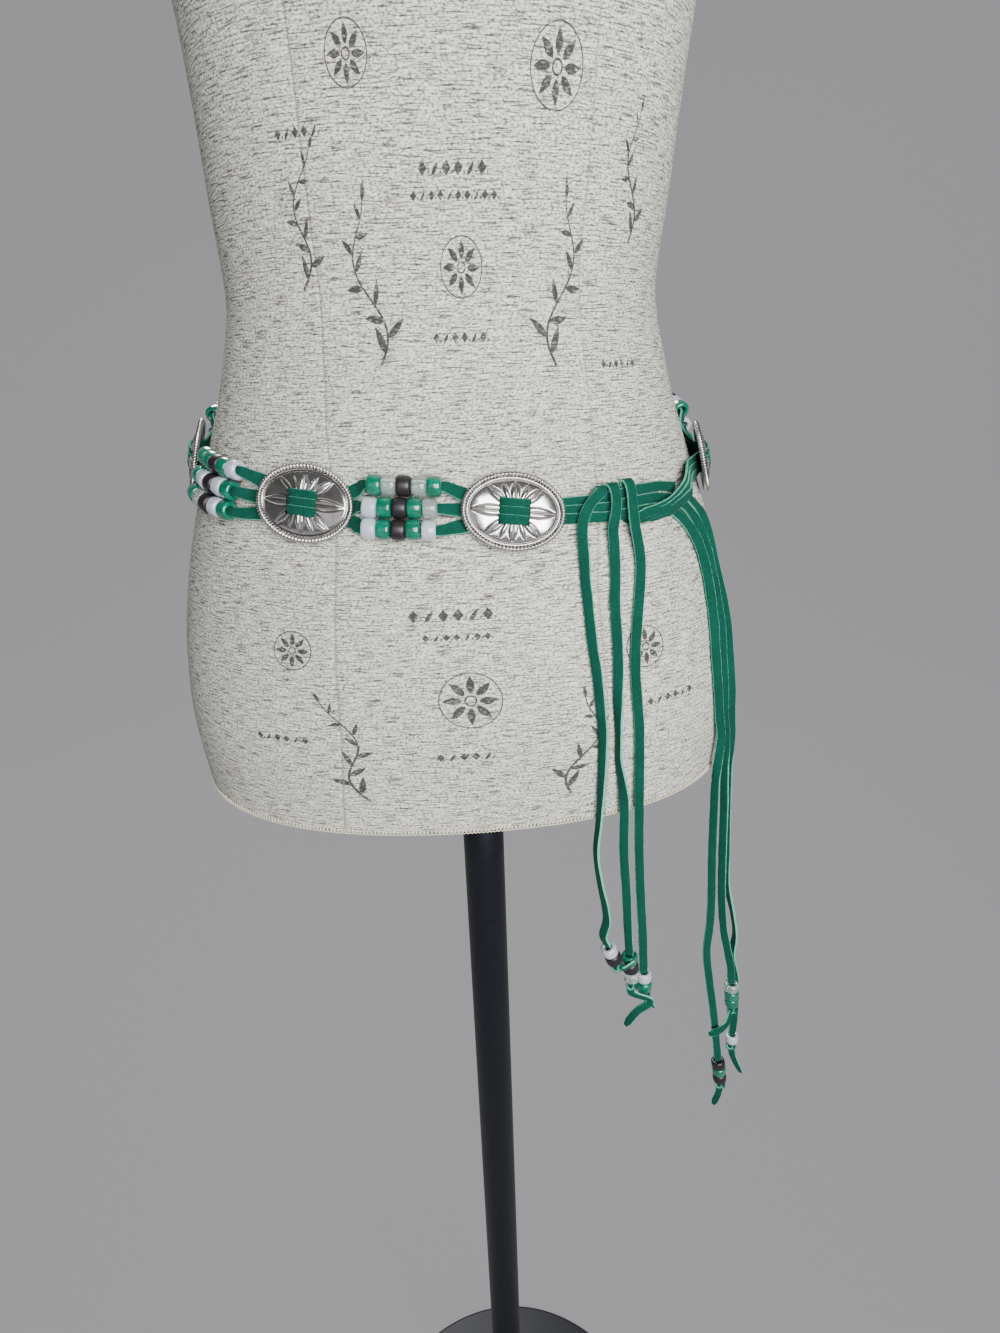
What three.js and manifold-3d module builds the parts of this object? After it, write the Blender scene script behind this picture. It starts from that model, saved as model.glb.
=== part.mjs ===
// Concho belt tied round the hips of a limbless dress form on a pole stand.
// Millimetres, +Z up. The origin is the centre of the stand's foot, on the floor.
// -Y is the front, +X the viewer's right. The belt is three suede laces that run side by
// side through metal conchos and rows of beads, and tie in front in one half hitch.
import * as THREE from "three";
import { mergeVertices } from "three/addons/utils/BufferGeometryUtils.js";
import Module from "manifold-3d";

const wasm = await Module();
wasm.setup();

// ---------- Driving sizes ----------
const HEM_HEIGHT = 1000; // the form's lower edge above the floor
const GAP = 0.3; // between pieces that touch

// The form's level sections: height above the hem, half width, centre across,
// depth in front of and behind the centre line.
const FORM_SECTIONS = [
  { height: 0, half: 155, centre: -7, front: 109, back: 110 },
  { height: 40, half: 157.5, centre: -7, front: 110.5, back: 116 },
  { height: 75, half: 154, centre: -8, front: 108, back: 114 },
  { height: 110, half: 147, centre: -8.5, front: 103, back: 104 },
  { height: 145, half: 137, centre: -8.5, front: 97, back: 91 },
  { height: 180, half: 124, centre: -8.5, front: 88.5, back: 77 },
  { height: 215, half: 112.5, centre: -8, front: 81.5, back: 68 },
  { height: 250, half: 105.5, centre: -7.5, front: 77.5, back: 64 },
  { height: 285, half: 108, centre: -6, front: 79, back: 65 },
  { height: 320, half: 110, centre: -4.5, front: 81, back: 68 },
  { height: 360, half: 113, centre: -3, front: 88, back: 75 },
  { height: 400, half: 121, centre: -2, front: 97, back: 82 },
  { height: 435, half: 130, centre: -1, front: 101, back: 87 },
  { height: 470, half: 136, centre: 0, front: 96, back: 91 },
  { height: 510, half: 146, centre: 0, front: 80, back: 92 },
  { height: 550, half: 158, centre: 0, front: 64, back: 86 },
  { height: 580, half: 163, centre: 0, front: 54, back: 74 },
  { height: 605, half: 152, centre: 0, front: 46, back: 60 },
  { height: 622, half: 112, centre: 0, front: 43, back: 53 },
  { height: 638, half: 74, centre: 0, front: 42, back: 47 },
  { height: 660, half: 58, centre: 0, front: 43, back: 45 },
  { height: 690, half: 52, centre: 0, front: 43, back: 43 },
  { height: 720, half: 51, centre: 0, front: 43, back: 43 },
];
const FORM_CENTRE_Y = 3;
const FORM_SQUARENESS = 0.046; // how far the section's corners stand out past an ellipse
const FORM_SIDES = 40;
const FORM_EXTRA_RINGS = [127, 162, 197, 232]; // between the sections, where the belt lies
const BUST = { height: 432, rise: 17, spread: 42, angle: 30, width: 17 };
const ARM_PLATE = { half: 150, from: 505, to: 640 }; // flat plates that close the armholes
const HANG_HEIGHT = 40; // below the widest section a tail hangs plumb

const POLE_RADIUS = 13.5;
const COLLAR = { radius: 30, height: 42, wall: 4, flange: 6, shoulder: 14, sides: 24 };
const FOOT = { radius: 185, thickness: 12, bevel: 3, sides: 40 };
const NECK_CAP = { thickness: 9, bevel: 3, dome: 16, sides: 24 };

// The belt line: height above the hem at each angle round the form, in degrees. The front
// is 270, the left side 180, the right side 0 and 360.
const BELT_LINE = [
  { angle: 0, height: 178 },
  { angle: 20, height: 186 },
  { angle: 50, height: 193 },
  { angle: 90, height: 196 },
  { angle: 130, height: 194 },
  { angle: 160, height: 189 },
  { angle: 180, height: 182 },
  { angle: 200, height: 174 },
  { angle: 221, height: 165.5 },
  { angle: 244, height: 160.5 },
  { angle: 268, height: 157.5 },
  { angle: 290, height: 154 },
  { angle: 308, height: 155 },
  { angle: 325, height: 161 },
  { angle: 344, height: 167 },
];
const BELT_PROUD = 4; // the loop is measured this far off the form

const CONCHO_COUNT = 7;
const FIRST_CONCHO_ANGLE = 281; // the concho at the left of the tie
const FRONT_PITCHES = [93, 95]; // from concho to concho, over the first spaces
const TIE_LENGTH = 134; // from the first concho to the last, across the tie
const CONCHO = {
  halfWidth: 23.2,
  halfHeight: 17.2,
  back: 2.6, // from the form to the plane of the back edge
  hollow: 1.5, // how far the back is dished
  petals: 8,
  relief: 0.4,
  sides: 24,
};
// The concho's front: share of the radius, height over the back edge, share of the relief.
const CONCHO_PROFILE = [
  { radius: 1, height: 0, relief: 0 },
  { radius: 1, height: 1.3, relief: 0 },
  { radius: 0.94, height: 2.4, relief: 0 },
  { radius: 0.83, height: 1.7, relief: 0 },
  { radius: 0.6, height: 2.7, relief: 1 },
  { radius: 0.34, height: 3.3, relief: 0.4 },
];
const SLOT = { inner: 4.9, outer: 8, halfHeight: 5.8 };
// How single conchos sit: turned in their own plane, leaning out at the top (both in degrees),
// and raised off the form.
const CONCHO_SEATS = {
  1: { turn: -3, lean: 0, raise: 0 },
  2: { turn: -2, lean: 0, raise: 0 },
  3: { turn: 0, lean: 4, raise: 0.6 },
  7: { turn: 0, lean: 9, raise: 1.3 },
};

const BEAD = { radius: 4.5, length: 6.5, neck: 3.5, shoulder: 1.1, bore: 2.6, sides: 6 };
const BEADS_IN_ROW = 5;
const ROW_PITCH = 9.3;
const BEAD_PROUD = 5.3; // from the form to a bead's centre line
// How far each bead row has slid along its lace from the middle of its space: top, middle and
// bottom row of the first spaces.
const ROW_SLIDES = [
  [-1.5, -3.2, -3.7],
  [-4, -5, -5],
];

const LACE = { width: 4.8, thickness: 1.5 }; // where it hangs free
const BELT_LACE = { width: 3.2, thickness: 1.2, pitch: 3.5 }; // where three lie close

const colours = {
  fabric: 0xc9c6ba,
  darkMetal: 0x191c24,
  silver: 0x9c9a94,
  suede: 0x108066,
  bead: 0x1c9a70,
  cap: 0x23252b,
};
const materials = {
  fabric: new THREE.MeshStandardMaterial({ color: colours.fabric, roughness: 0.95 }),
  darkMetal: new THREE.MeshStandardMaterial({
    color: colours.darkMetal,
    roughness: 0.4,
    metalness: 0.6,
  }),
  silver: new THREE.MeshStandardMaterial({
    color: colours.silver,
    roughness: 0.3,
    metalness: 1,
  }),
  suede: new THREE.MeshStandardMaterial({ color: colours.suede, roughness: 0.9 }),
  bead: new THREE.MeshStandardMaterial({ color: colours.bead, roughness: 0.25 }),
  cap: new THREE.MeshStandardMaterial({ color: colours.cap, roughness: 0.5 }),
};

// ---------- Curves ----------
// A smooth curve through rows of (at, value) that never overshoots them (monotone cubic).
function smoothThrough(at, values) {
  const last = at.length - 1;
  const slope = [];
  for (let i = 0; i < last; i++) slope.push((values[i + 1] - values[i]) / (at[i + 1] - at[i]));
  const tangent = values.map((_, i) => {
    if (i === 0) return slope[0];
    if (i === last) return slope[last - 1];
    if (slope[i - 1] * slope[i] <= 0) return 0;
    return (2 * slope[i - 1] * slope[i]) / (slope[i - 1] + slope[i]);
  });
  return (x) => {
    const inside = Math.min(Math.max(x, at[0]), at[last]);
    let i = 0;
    while (i < last - 1 && at[i + 1] < inside) i++;
    const step = at[i + 1] - at[i];
    const u = (inside - at[i]) / step;
    const rise = values[i + 1] - values[i];
    const start = tangent[i] * step;
    const end = tangent[i + 1] * step;
    const bend = 3 * rise - 2 * start - end;
    return values[i] + u * (start + u * (bend + u * (start + end - 2 * rise)));
  };
}

const sectionAt = Object.fromEntries(
  ["half", "centre", "front", "back"].map((name) => [
    name,
    smoothThrough(
      FORM_SECTIONS.map((row) => row.height),
      FORM_SECTIONS.map((row) => row[name]),
    ),
  ]),
);

const beltHeightRows = [-360, 0, 360].flatMap((turn) =>
  BELT_LINE.map((row) => ({ angle: row.angle + turn, height: row.height })),
);
const beltHeightAt = smoothThrough(
  beltHeightRows.map((row) => row.angle),
  beltHeightRows.map((row) => row.height),
);

// The bust's swell, as a distance out from the plain section.
function bustSwell(angle, height) {
  const up = Math.exp(-(((height - BUST.height) / BUST.spread) ** 2));
  const across = [-BUST.angle, BUST.angle].reduce(
    (sum, side) => sum + Math.exp(-(((angle - 270 - side) / BUST.width) ** 2)),
    0,
  );
  return BUST.rise * up * across;
}

// A point at an angle round the form and a height above its hem, proud of the surface.
function formPoint(angle, height, proud = 0, sectionHeight = height) {
  const turn = THREE.MathUtils.degToRad(angle);
  const front = Math.sin(turn) < 0;
  const corner = 1 + FORM_SQUARENESS * Math.sin(2 * turn) ** 2;
  const out = proud + bustSwell(((angle % 360) + 360) % 360, sectionHeight);
  const depth = front ? sectionAt.front(sectionHeight) : sectionAt.back(sectionHeight);
  const half = sectionAt.half(sectionHeight);
  return new THREE.Vector3(
    sectionAt.centre(sectionHeight) + (half + out) * Math.cos(turn) * corner,
    FORM_CENTRE_Y + (depth + out) * Math.sin(turn) * corner,
    HEM_HEIGHT + height,
  );
}

function formNormal(angle, height) {
  const step = 0.5;
  const along = formPoint(angle + step, height).sub(formPoint(angle - step, height));
  const up = formPoint(angle, height + step).sub(formPoint(angle, height - step));
  return along.cross(up).normalize();
}

// ---------- The belt's own coordinates ----------
// along: distance round the loop from the first concho, towards the viewer's right.
// aside: distance above the belt line. proud: distance off the form.
const loopTable = [];
const LOOP_STEP = 0.5;
for (let angle = FIRST_CONCHO_ANGLE - 360, along = 0, previous = null; ; angle += LOOP_STEP) {
  const point = formPoint(angle, beltHeightAt(angle), BELT_PROUD);
  if (previous) along += point.distanceTo(previous);
  loopTable.push({ angle, along });
  previous = point;
  if (angle >= FIRST_CONCHO_ANGLE + 90) break;
}
const loopLength = loopTable.find((row) => row.angle >= FIRST_CONCHO_ANGLE).along;
loopTable.forEach((row) => (row.along -= loopLength));

function angleAt(along) {
  let high = loopTable.findIndex((row) => row.along >= along);
  high = Math.max(high, 1);
  const a = loopTable[high - 1];
  const b = loopTable[high];
  return a.angle + ((b.angle - a.angle) * (along - a.along)) / (b.along - a.along);
}

function beltFrame(along) {
  const angle = angleAt(along);
  const height = beltHeightAt(angle);
  const step = 0.5;
  const normal = formNormal(angle, height);
  const ahead = formPoint(angle + step, beltHeightAt(angle + step));
  const tangent = ahead.sub(formPoint(angle - step, beltHeightAt(angle - step)));
  tangent.addScaledVector(normal, -tangent.dot(normal)).normalize();
  const up = new THREE.Vector3().crossVectors(normal, tangent);
  return { origin: formPoint(angle, height), tangent, up, normal };
}

function place(frame, x, y, z) {
  return frame.origin
    .clone()
    .addScaledVector(frame.tangent, x)
    .addScaledVector(frame.up, y)
    .addScaledVector(frame.normal, z);
}

const beltPoint = (along, aside, proud) => place(beltFrame(along), 0, aside, proud);

const frontLength = FRONT_PITCHES.reduce((sum, pitch) => sum + pitch, 0);
const backPitch =
  (loopLength - TIE_LENGTH - frontLength) / (CONCHO_COUNT - 1 - FRONT_PITCHES.length);
const conchoAlong = [0];
for (let i = 0; i < CONCHO_COUNT - 1; i++) {
  conchoAlong.push(conchoAlong[i] - (FRONT_PITCHES[i] ?? backPitch));
}

// The frame of a concho, counted from 1, as it sits on the belt.
function conchoFrame(number) {
  const { origin, tangent, up, normal } = beltFrame(conchoAlong[number - 1]);
  const { turn, lean, raise } = CONCHO_SEATS[number] ?? { turn: 0, lean: 0, raise: 0 };
  const turned = new THREE.Matrix4().makeBasis(tangent, up, normal);
  turned.multiply(new THREE.Matrix4().makeRotationX(THREE.MathUtils.degToRad(lean)));
  turned.multiply(new THREE.Matrix4().makeRotationZ(THREE.MathUtils.degToRad(turn)));
  const [across, above, outward] = [0, 1, 2].map(() => new THREE.Vector3());
  turned.extractBasis(across, above, outward);
  return {
    origin: origin.clone().addScaledVector(normal, raise),
    tangent: across,
    up: above,
    normal: outward,
  };
}

// ---------- Solids ----------
function signedVolume(geometry) {
  const p = geometry.getAttribute("position");
  const index = geometry.index.array;
  const [a, b, c] = [new THREE.Vector3(), new THREE.Vector3(), new THREE.Vector3()];
  let sum = 0;
  for (let i = 0; i < index.length; i += 3) {
    a.fromBufferAttribute(p, index[i]);
    b.fromBufferAttribute(p, index[i + 1]);
    c.fromBufferAttribute(p, index[i + 2]);
    sum += a.dot(b.cross(c));
  }
  return sum / 6;
}

function facingOut(geometry) {
  if (signedVolume(geometry) < 0) {
    const index = geometry.index.array;
    for (let i = 0; i < index.length; i += 3) [index[i], index[i + 1]] = [index[i + 1], index[i]];
  }
  return geometry;
}

function geometryOf(points, faces) {
  const geometry = new THREE.BufferGeometry().setFromPoints(points);
  geometry.setIndex(faces);
  return facingOut(geometry);
}

// Skins rings of the same number of points, and closes both ends or joins last to first.
function loft(rings, { loop = false } = {}) {
  const sides = rings[0].length;
  const faces = [];
  const spans = loop ? rings.length : rings.length - 1;
  for (let i = 0; i < spans; i++) {
    for (let j = 0; j < sides; j++) {
      const a = i * sides + j;
      const b = i * sides + ((j + 1) % sides);
      const c = ((i + 1) % rings.length) * sides + j;
      const d = ((i + 1) % rings.length) * sides + ((j + 1) % sides);
      faces.push(a, b, d, a, d, c);
    }
  }
  if (!loop) {
    const last = (rings.length - 1) * sides;
    for (let j = 1; j < sides - 1; j++) {
      faces.push(0, j + 1, j);
      faces.push(last, last + j, last + j + 1);
    }
  }
  return geometryOf(rings.flat(), faces);
}

function solidOf(geometry) {
  const plain = new THREE.BufferGeometry()
    .setAttribute("position", geometry.getAttribute("position"))
    .setIndex(geometry.index);
  const merged = mergeVertices(plain, 1e-4);
  return new wasm.Manifold(
    new wasm.Mesh({
      numProp: 3,
      vertProperties: new Float32Array(merged.getAttribute("position").array),
      triVerts: new Uint32Array(merged.index.array),
    }),
  );
}

function geometryFrom(solid) {
  const mesh = solid.getMesh();
  const points = [];
  for (let i = 0; i < mesh.numVert; i++) {
    points.push(new THREE.Vector3().fromArray(mesh.vertProperties, i * mesh.numProp));
  }
  return geometryOf(points, Array.from(mesh.triVerts));
}

// ---------- Dress form and stand ----------
function formRing(height) {
  return Array.from({ length: FORM_SIDES }, (_, j) => formPoint((360 * j) / FORM_SIDES, height));
}

function formBody() {
  const heights = [...FORM_SECTIONS.map((row) => row.height), ...FORM_EXTRA_RINGS];
  heights.sort((a, b) => a - b);
  const body = solidOf(loft(heights.map(formRing)));
  const size = ARM_PLATE.half; // of the cutter, wider than what it takes off
  const plates = [-1, 1].map((side) => {
    const cutter = new THREE.BoxGeometry(size, 2 * size, ARM_PLATE.to - ARM_PLATE.from);
    cutter.translate(
      side * (ARM_PLATE.half + size / 2),
      0,
      HEM_HEIGHT + (ARM_PLATE.from + ARM_PLATE.to) / 2,
    );
    return solidOf(cutter);
  });
  return geometryFrom(body.subtract(plates[0]).subtract(plates[1]));
}

// A solid of revolution from rows of radius and height; the outline starts and ends on the axis
// or closes on itself.
function turned(rows, sides) {
  const geometry = new THREE.LatheGeometry(
    rows.map(([radius, height]) => new THREE.Vector2(radius, height)),
    sides,
  );
  geometry.deleteAttribute("normal");
  geometry.deleteAttribute("uv");
  geometry.rotateX(Math.PI / 2);
  return facingOut(withoutFlatFaces(mergeVertices(geometry, 1e-4)));
}

function withoutFlatFaces(geometry) {
  const kept = [];
  const index = geometry.index.array;
  for (let i = 0; i < index.length; i += 3) {
    const [a, b, c] = index.slice(i, i + 3);
    if (a !== b && b !== c && c !== a) kept.push(a, b, c);
  }
  geometry.setIndex(kept);
  return geometry;
}

function neckCap() {
  const neck = FORM_SECTIONS[FORM_SECTIONS.length - 1];
  const base = HEM_HEIGHT + neck.height + GAP;
  const { thickness, bevel, dome, sides } = NECK_CAP;
  const cap = turned(
    [
      [0, base],
      [neck.half, base],
      [neck.half, base + thickness - bevel],
      [neck.half - bevel, base + thickness],
      [neck.half * 0.6, base + thickness + dome * 0.6],
      [0, base + thickness + dome],
    ],
    sides,
  );
  cap.scale(1, neck.front / neck.half, 1);
  cap.translate(neck.centre, FORM_CENTRE_Y, 0);
  return cap;
}

function foot() {
  const { radius, thickness, bevel, sides } = FOOT;
  return turned(
    [
      [0, 0],
      [radius, 0],
      [radius, thickness - bevel],
      [radius - bevel, thickness],
      [0, thickness],
    ],
    sides,
  );
}

function pole() {
  const low = FOOT.thickness + GAP;
  const high = HEM_HEIGHT - GAP;
  return turned([[0, low], [POLE_RADIUS, low], [POLE_RADIUS, high], [0, high]], COLLAR.sides);
}

function collar() {
  const low = FOOT.thickness + GAP;
  const high = low + COLLAR.height;
  const inner = POLE_RADIUS + GAP;
  const neck = inner + COLLAR.wall;
  return turned(
    [
      [inner, low],
      [COLLAR.radius, low],
      [COLLAR.radius, low + COLLAR.flange],
      [neck, low + COLLAR.shoulder],
      [neck, high],
      [inner, high],
      [inner, low],
    ],
    COLLAR.sides,
  );
}

// ---------- Conchos ----------
function conchoRing(frame, row) {
  return Array.from({ length: CONCHO.sides }, (_, j) => {
    const turn = (2 * Math.PI * j) / CONCHO.sides;
    const wave = CONCHO.relief * row.relief * Math.cos(CONCHO.petals * turn);
    const x = CONCHO.halfWidth * row.radius * Math.cos(turn);
    const y = CONCHO.halfHeight * row.radius * Math.sin(turn);
    return place(frame, x, y, CONCHO.back + row.height + wave);
  });
}

function conchoSlot(frame, side) {
  const width = SLOT.outer - SLOT.inner;
  const depth = 4 * CONCHO_PROFILE[CONCHO_PROFILE.length - 1].height; // right through
  const cutter = new THREE.BoxGeometry(width, 2 * SLOT.halfHeight, depth);
  cutter.applyMatrix4(
    new THREE.Matrix4()
      .makeBasis(frame.tangent, frame.up, frame.normal)
      .setPosition(place(frame, (side * (SLOT.outer + SLOT.inner)) / 2, 0, CONCHO.back)),
  );
  return solidOf(cutter);
}

function concho(number) {
  const frame = conchoFrame(number);
  const dish = { radius: 0.6, height: CONCHO.hollow, relief: 0 };
  const plate = solidOf(loft([dish, ...CONCHO_PROFILE].map((row) => conchoRing(frame, row))));
  return geometryFrom(plate.subtract(conchoSlot(frame, -1)).subtract(conchoSlot(frame, 1)));
}

// ---------- Beads ----------
// Rings for beads end to end: `at` gives the ring's centre and its two cross axes.
function beadRings(at, start, count) {
  const marks = [[0, BEAD.neck]];
  for (let i = 0; i < count; i++) {
    marks.push([i * BEAD.length + BEAD.shoulder, BEAD.radius]);
    marks.push([(i + 1) * BEAD.length - BEAD.shoulder, BEAD.radius]);
    marks.push([(i + 1) * BEAD.length, BEAD.neck]);
  }
  return marks.map(([offset, radius]) => circleAt(at(start + offset), radius));
}

function circleAt({ centre, u, v }, radius) {
  return Array.from({ length: BEAD.sides }, (_, j) => {
    const turn = (2 * Math.PI * (j + 0.5)) / BEAD.sides;
    return centre
      .clone()
      .addScaledVector(u, radius * Math.cos(turn))
      .addScaledVector(v, radius * Math.sin(turn));
  });
}

// One row of beads threaded on a lace: outside and bore in one closed skin.
function beadRow(middle, aside) {
  const at = (along) => {
    const frame = beltFrame(along);
    return { centre: place(frame, 0, aside, BEAD_PROUD), u: frame.up, v: frame.normal };
  };
  const length = BEADS_IN_ROW * BEAD.length;
  const start = middle - length / 2;
  const outside = beadRings(at, start, BEADS_IN_ROW);
  const bore = [length, length / 2, 0].map((offset) =>
    circleAt(at(start + offset), BEAD.bore),
  );
  return loft([...outside, ...bore], { loop: true });
}

// ---------- Laces ----------
// A flat strip along stations of centre, side (a unit vector across its width) and the path's
// own direction, closed at both ends.
function strip(stations, width, thickness) {
  const rings = stations.map(({ centre, side }, i) => {
    const before = stations[Math.max(i - 1, 0)].centre;
    const after = stations[Math.min(i + 1, stations.length - 1)].centre;
    const forward = after.clone().sub(before).normalize();
    const across = side.clone().addScaledVector(forward, -side.dot(forward)).normalize();
    const face = new THREE.Vector3().crossVectors(across, forward);
    return [[-1, -1], [1, -1], [1, 1], [-1, 1]].map(([x, y]) =>
      centre
        .clone()
        .addScaledVector(across, (x * width) / 2)
        .addScaledVector(face, (y * thickness) / 2),
    );
  });
  return loft(rings);
}

// How a belt lace passes one concho: over the front between the slots, and behind the rest.
// The rows give the distance from the concho's middle and off the form.
const PASS_CONCHO = [
  { offset: 9.3, proud: 1.15 },
  { offset: 7.5, proud: 1.6 },
  { offset: 6.6, proud: 3.4 },
  { offset: 6.1, proud: 6.1 },
  { offset: 4.8, proud: 7.1 },
];
// Behind the concho's edge, where the laces have begun to part towards the bead rows.
const CONCHO_EDGE = { offset: 23, proud: 1.6, parted: 0.6 };
const ROW_OFFSETS = [16.6, 8.2, 0, -8.2, -16.6];

const closeAside = (row) => (1 - row) * BELT_LACE.pitch;
const spreadAside = (row) => (1 - row) * ROW_PITCH;
const rowMiddle = (space, row) =>
  (conchoAlong[space] + conchoAlong[space + 1]) / 2 + (ROW_SLIDES[space]?.[row] ?? 0);

// The lace at one edge of a concho; side is 1 to the viewer's right and -1 to the left.
function conchoEdge(number, row, side) {
  const towardsTie = side > 0 ? number === 1 : number === CONCHO_COUNT;
  const parted = towardsTie ? 0 : CONCHO_EDGE.parted;
  return beltStation({
    along: conchoAlong[number - 1] + side * CONCHO_EDGE.offset,
    aside: closeAside(row) + parted * (spreadAside(row) - closeAside(row)),
    proud: CONCHO_EDGE.proud,
  });
}

function passConcho(number, row) {
  const frame = conchoFrame(number);
  const station = (side) => ({ offset, proud }) => ({
    centre: place(frame, side * offset, closeAside(row), proud),
    normal: frame.normal,
  });
  return [
    conchoEdge(number, row, 1),
    ...PASS_CONCHO.map(station(1)),
    ...PASS_CONCHO.map(station(-1)).reverse(),
    conchoEdge(number, row, -1),
  ];
}

function passBeads(space, row) {
  return ROW_OFFSETS.map((offset) =>
    beltStation({
      along: rowMiddle(space, row) + offset,
      aside: spreadAside(row),
      proud: BEAD_PROUD,
    }),
  );
}

// The tie. Each lace leaves the first concho rightwards under the crossing, and comes back from
// the last concho leftwards over it, turns under the others and up behind them, and drops over
// their top edge. Rows give the angle, the height above the hem and how far it stands proud.
const LEAVING = [
  [
    { angle: 319.5, height: 158.5, proud: 1.3 },
    { angle: 314, height: 160.2, proud: 1.3 },
    { angle: 309.5, height: 160.6, proud: 2.6 },
    { angle: 305, height: 160.4, proud: 3.6 },
    { angle: 299, height: 158.6, proud: 3.4 },
    { angle: 295.5, height: 157.9, proud: 1.8 },
  ],
  [
    { angle: 317.2, height: 153.6, proud: 1.3 },
    { angle: 313, height: 155.4, proud: 1.3 },
    { angle: 309.5, height: 155.9, proud: 2.6 },
    { angle: 305, height: 155.8, proud: 3.6 },
    { angle: 299, height: 154.5, proud: 3.4 },
    { angle: 295.5, height: 154.3, proud: 1.8 },
  ],
  [
    { angle: 315, height: 149.4, proud: 1.3 },
    { angle: 312.2, height: 150.8, proud: 1.3 },
    { angle: 309.5, height: 151.3, proud: 2.6 },
    { angle: 305, height: 151.3, proud: 3.6 },
    { angle: 299, height: 150.6, proud: 3.4 },
    { angle: 295.5, height: 150.7, proud: 1.8 },
  ],
];
const RETURNING = [
  [
    { angle: 324.6, height: 165.2, proud: 4.2 },
    { angle: 321.5, height: 161.2, proud: 6.3 },
    { angle: 317.5, height: 157, proud: 6.7 },
    { angle: 313.6, height: 153.2, proud: 6.7 },
    { angle: 309.8, height: 150.8, proud: 6.4 },
    { angle: 306.4, height: 149.4, proud: 5.8 },
    { angle: 304.6, height: 147.3, proud: 3.6 },
    { angle: 303.9, height: 148.4, proud: 1.2 },
    { angle: 301.6, height: 154, proud: 1.1 },
    { angle: 299.2, height: 160.4, proud: 1.2 },
    { angle: 298.3, height: 162.6, proud: 3.4 },
  ],
  [
    { angle: 324.8, height: 161.6, proud: 3.2 },
    { angle: 322, height: 158.6, proud: 4.8 },
    { angle: 318.2, height: 154.8, proud: 5.2 },
    { angle: 314.6, height: 151.6, proud: 5.1 },
    { angle: 311.6, height: 149.4, proud: 5 },
    { angle: 308.8, height: 148.6, proud: 4.9 },
    { angle: 307.2, height: 146.8, proud: 3.4 },
    { angle: 306.5, height: 148, proud: 1.2 },
    { angle: 304.2, height: 154.4, proud: 1.1 },
    { angle: 301.7, height: 161.2, proud: 1.2 },
    { angle: 300.6, height: 163.4, proud: 3.4 },
  ],
  [
    { angle: 325.4, height: 158, proud: 2.2 },
    { angle: 323, height: 155.6, proud: 3.7 },
    { angle: 319.4, height: 152.4, proud: 3.8 },
    { angle: 316, height: 149.6, proud: 3.6 },
    { angle: 313.4, height: 147.6, proud: 3.4 },
    { angle: 311.4, height: 147.2, proud: 3.4 },
    { angle: 310, height: 146.6, proud: 2.6 },
    { angle: 309.3, height: 147.8, proud: 1.1 },
    { angle: 307.4, height: 154.4, proud: 1.1 },
    { angle: 305.2, height: 162, proud: 1.2 },
    { angle: 304.2, height: 164.5, proud: 3.4 },
  ],
];

function surfaceStation(row) {
  const sectionHeight = Math.max(row.height, HANG_HEIGHT);
  const normal = formNormal(row.angle, sectionHeight);
  if (row.height < HANG_HEIGHT) normal.setZ(0).normalize();
  return { centre: formPoint(row.angle, row.height, row.proud, sectionHeight), normal };
}

function beltStation({ along, aside, proud }) {
  return { centre: beltPoint(along, aside, proud), normal: beltFrame(along).normal };
}

// Adds to each station the strip's width direction: across the path in the form's surface,
// and never turning over from one station to the next.
function withSides(stations, firstSide) {
  let previous = firstSide;
  return stations.map(({ centre, normal, twist = 0 }, i) => {
    const before = stations[Math.max(i - 1, 0)].centre;
    const after = stations[Math.min(i + 1, stations.length - 1)].centre;
    const forward = after.clone().sub(before).normalize();
    let side = new THREE.Vector3().crossVectors(normal, forward);
    if (side.length() < 0.6) side = previous.clone();
    side.addScaledVector(forward, -side.dot(forward)).normalize();
    if (side.dot(previous) < 0) side.negate();
    previous = side.clone();
    side.applyAxisAngle(forward, THREE.MathUtils.degToRad(twist));
    return { centre, side };
  });
}

function beltLace(row) {
  const stations = LEAVING[row].map(surfaceStation);
  conchoAlong.forEach((_, i) => {
    stations.push(...passConcho(i + 1, row));
    if (i < CONCHO_COUNT - 1) stations.push(...passBeads(i, row));
  });
  stations.push(...RETURNING[row].map(surfaceStation));
  const sides = withSides(stations, new THREE.Vector3(0, 0, 1));
  return strip(sides, BELT_LACE.width, BELT_LACE.thickness);
}

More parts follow.
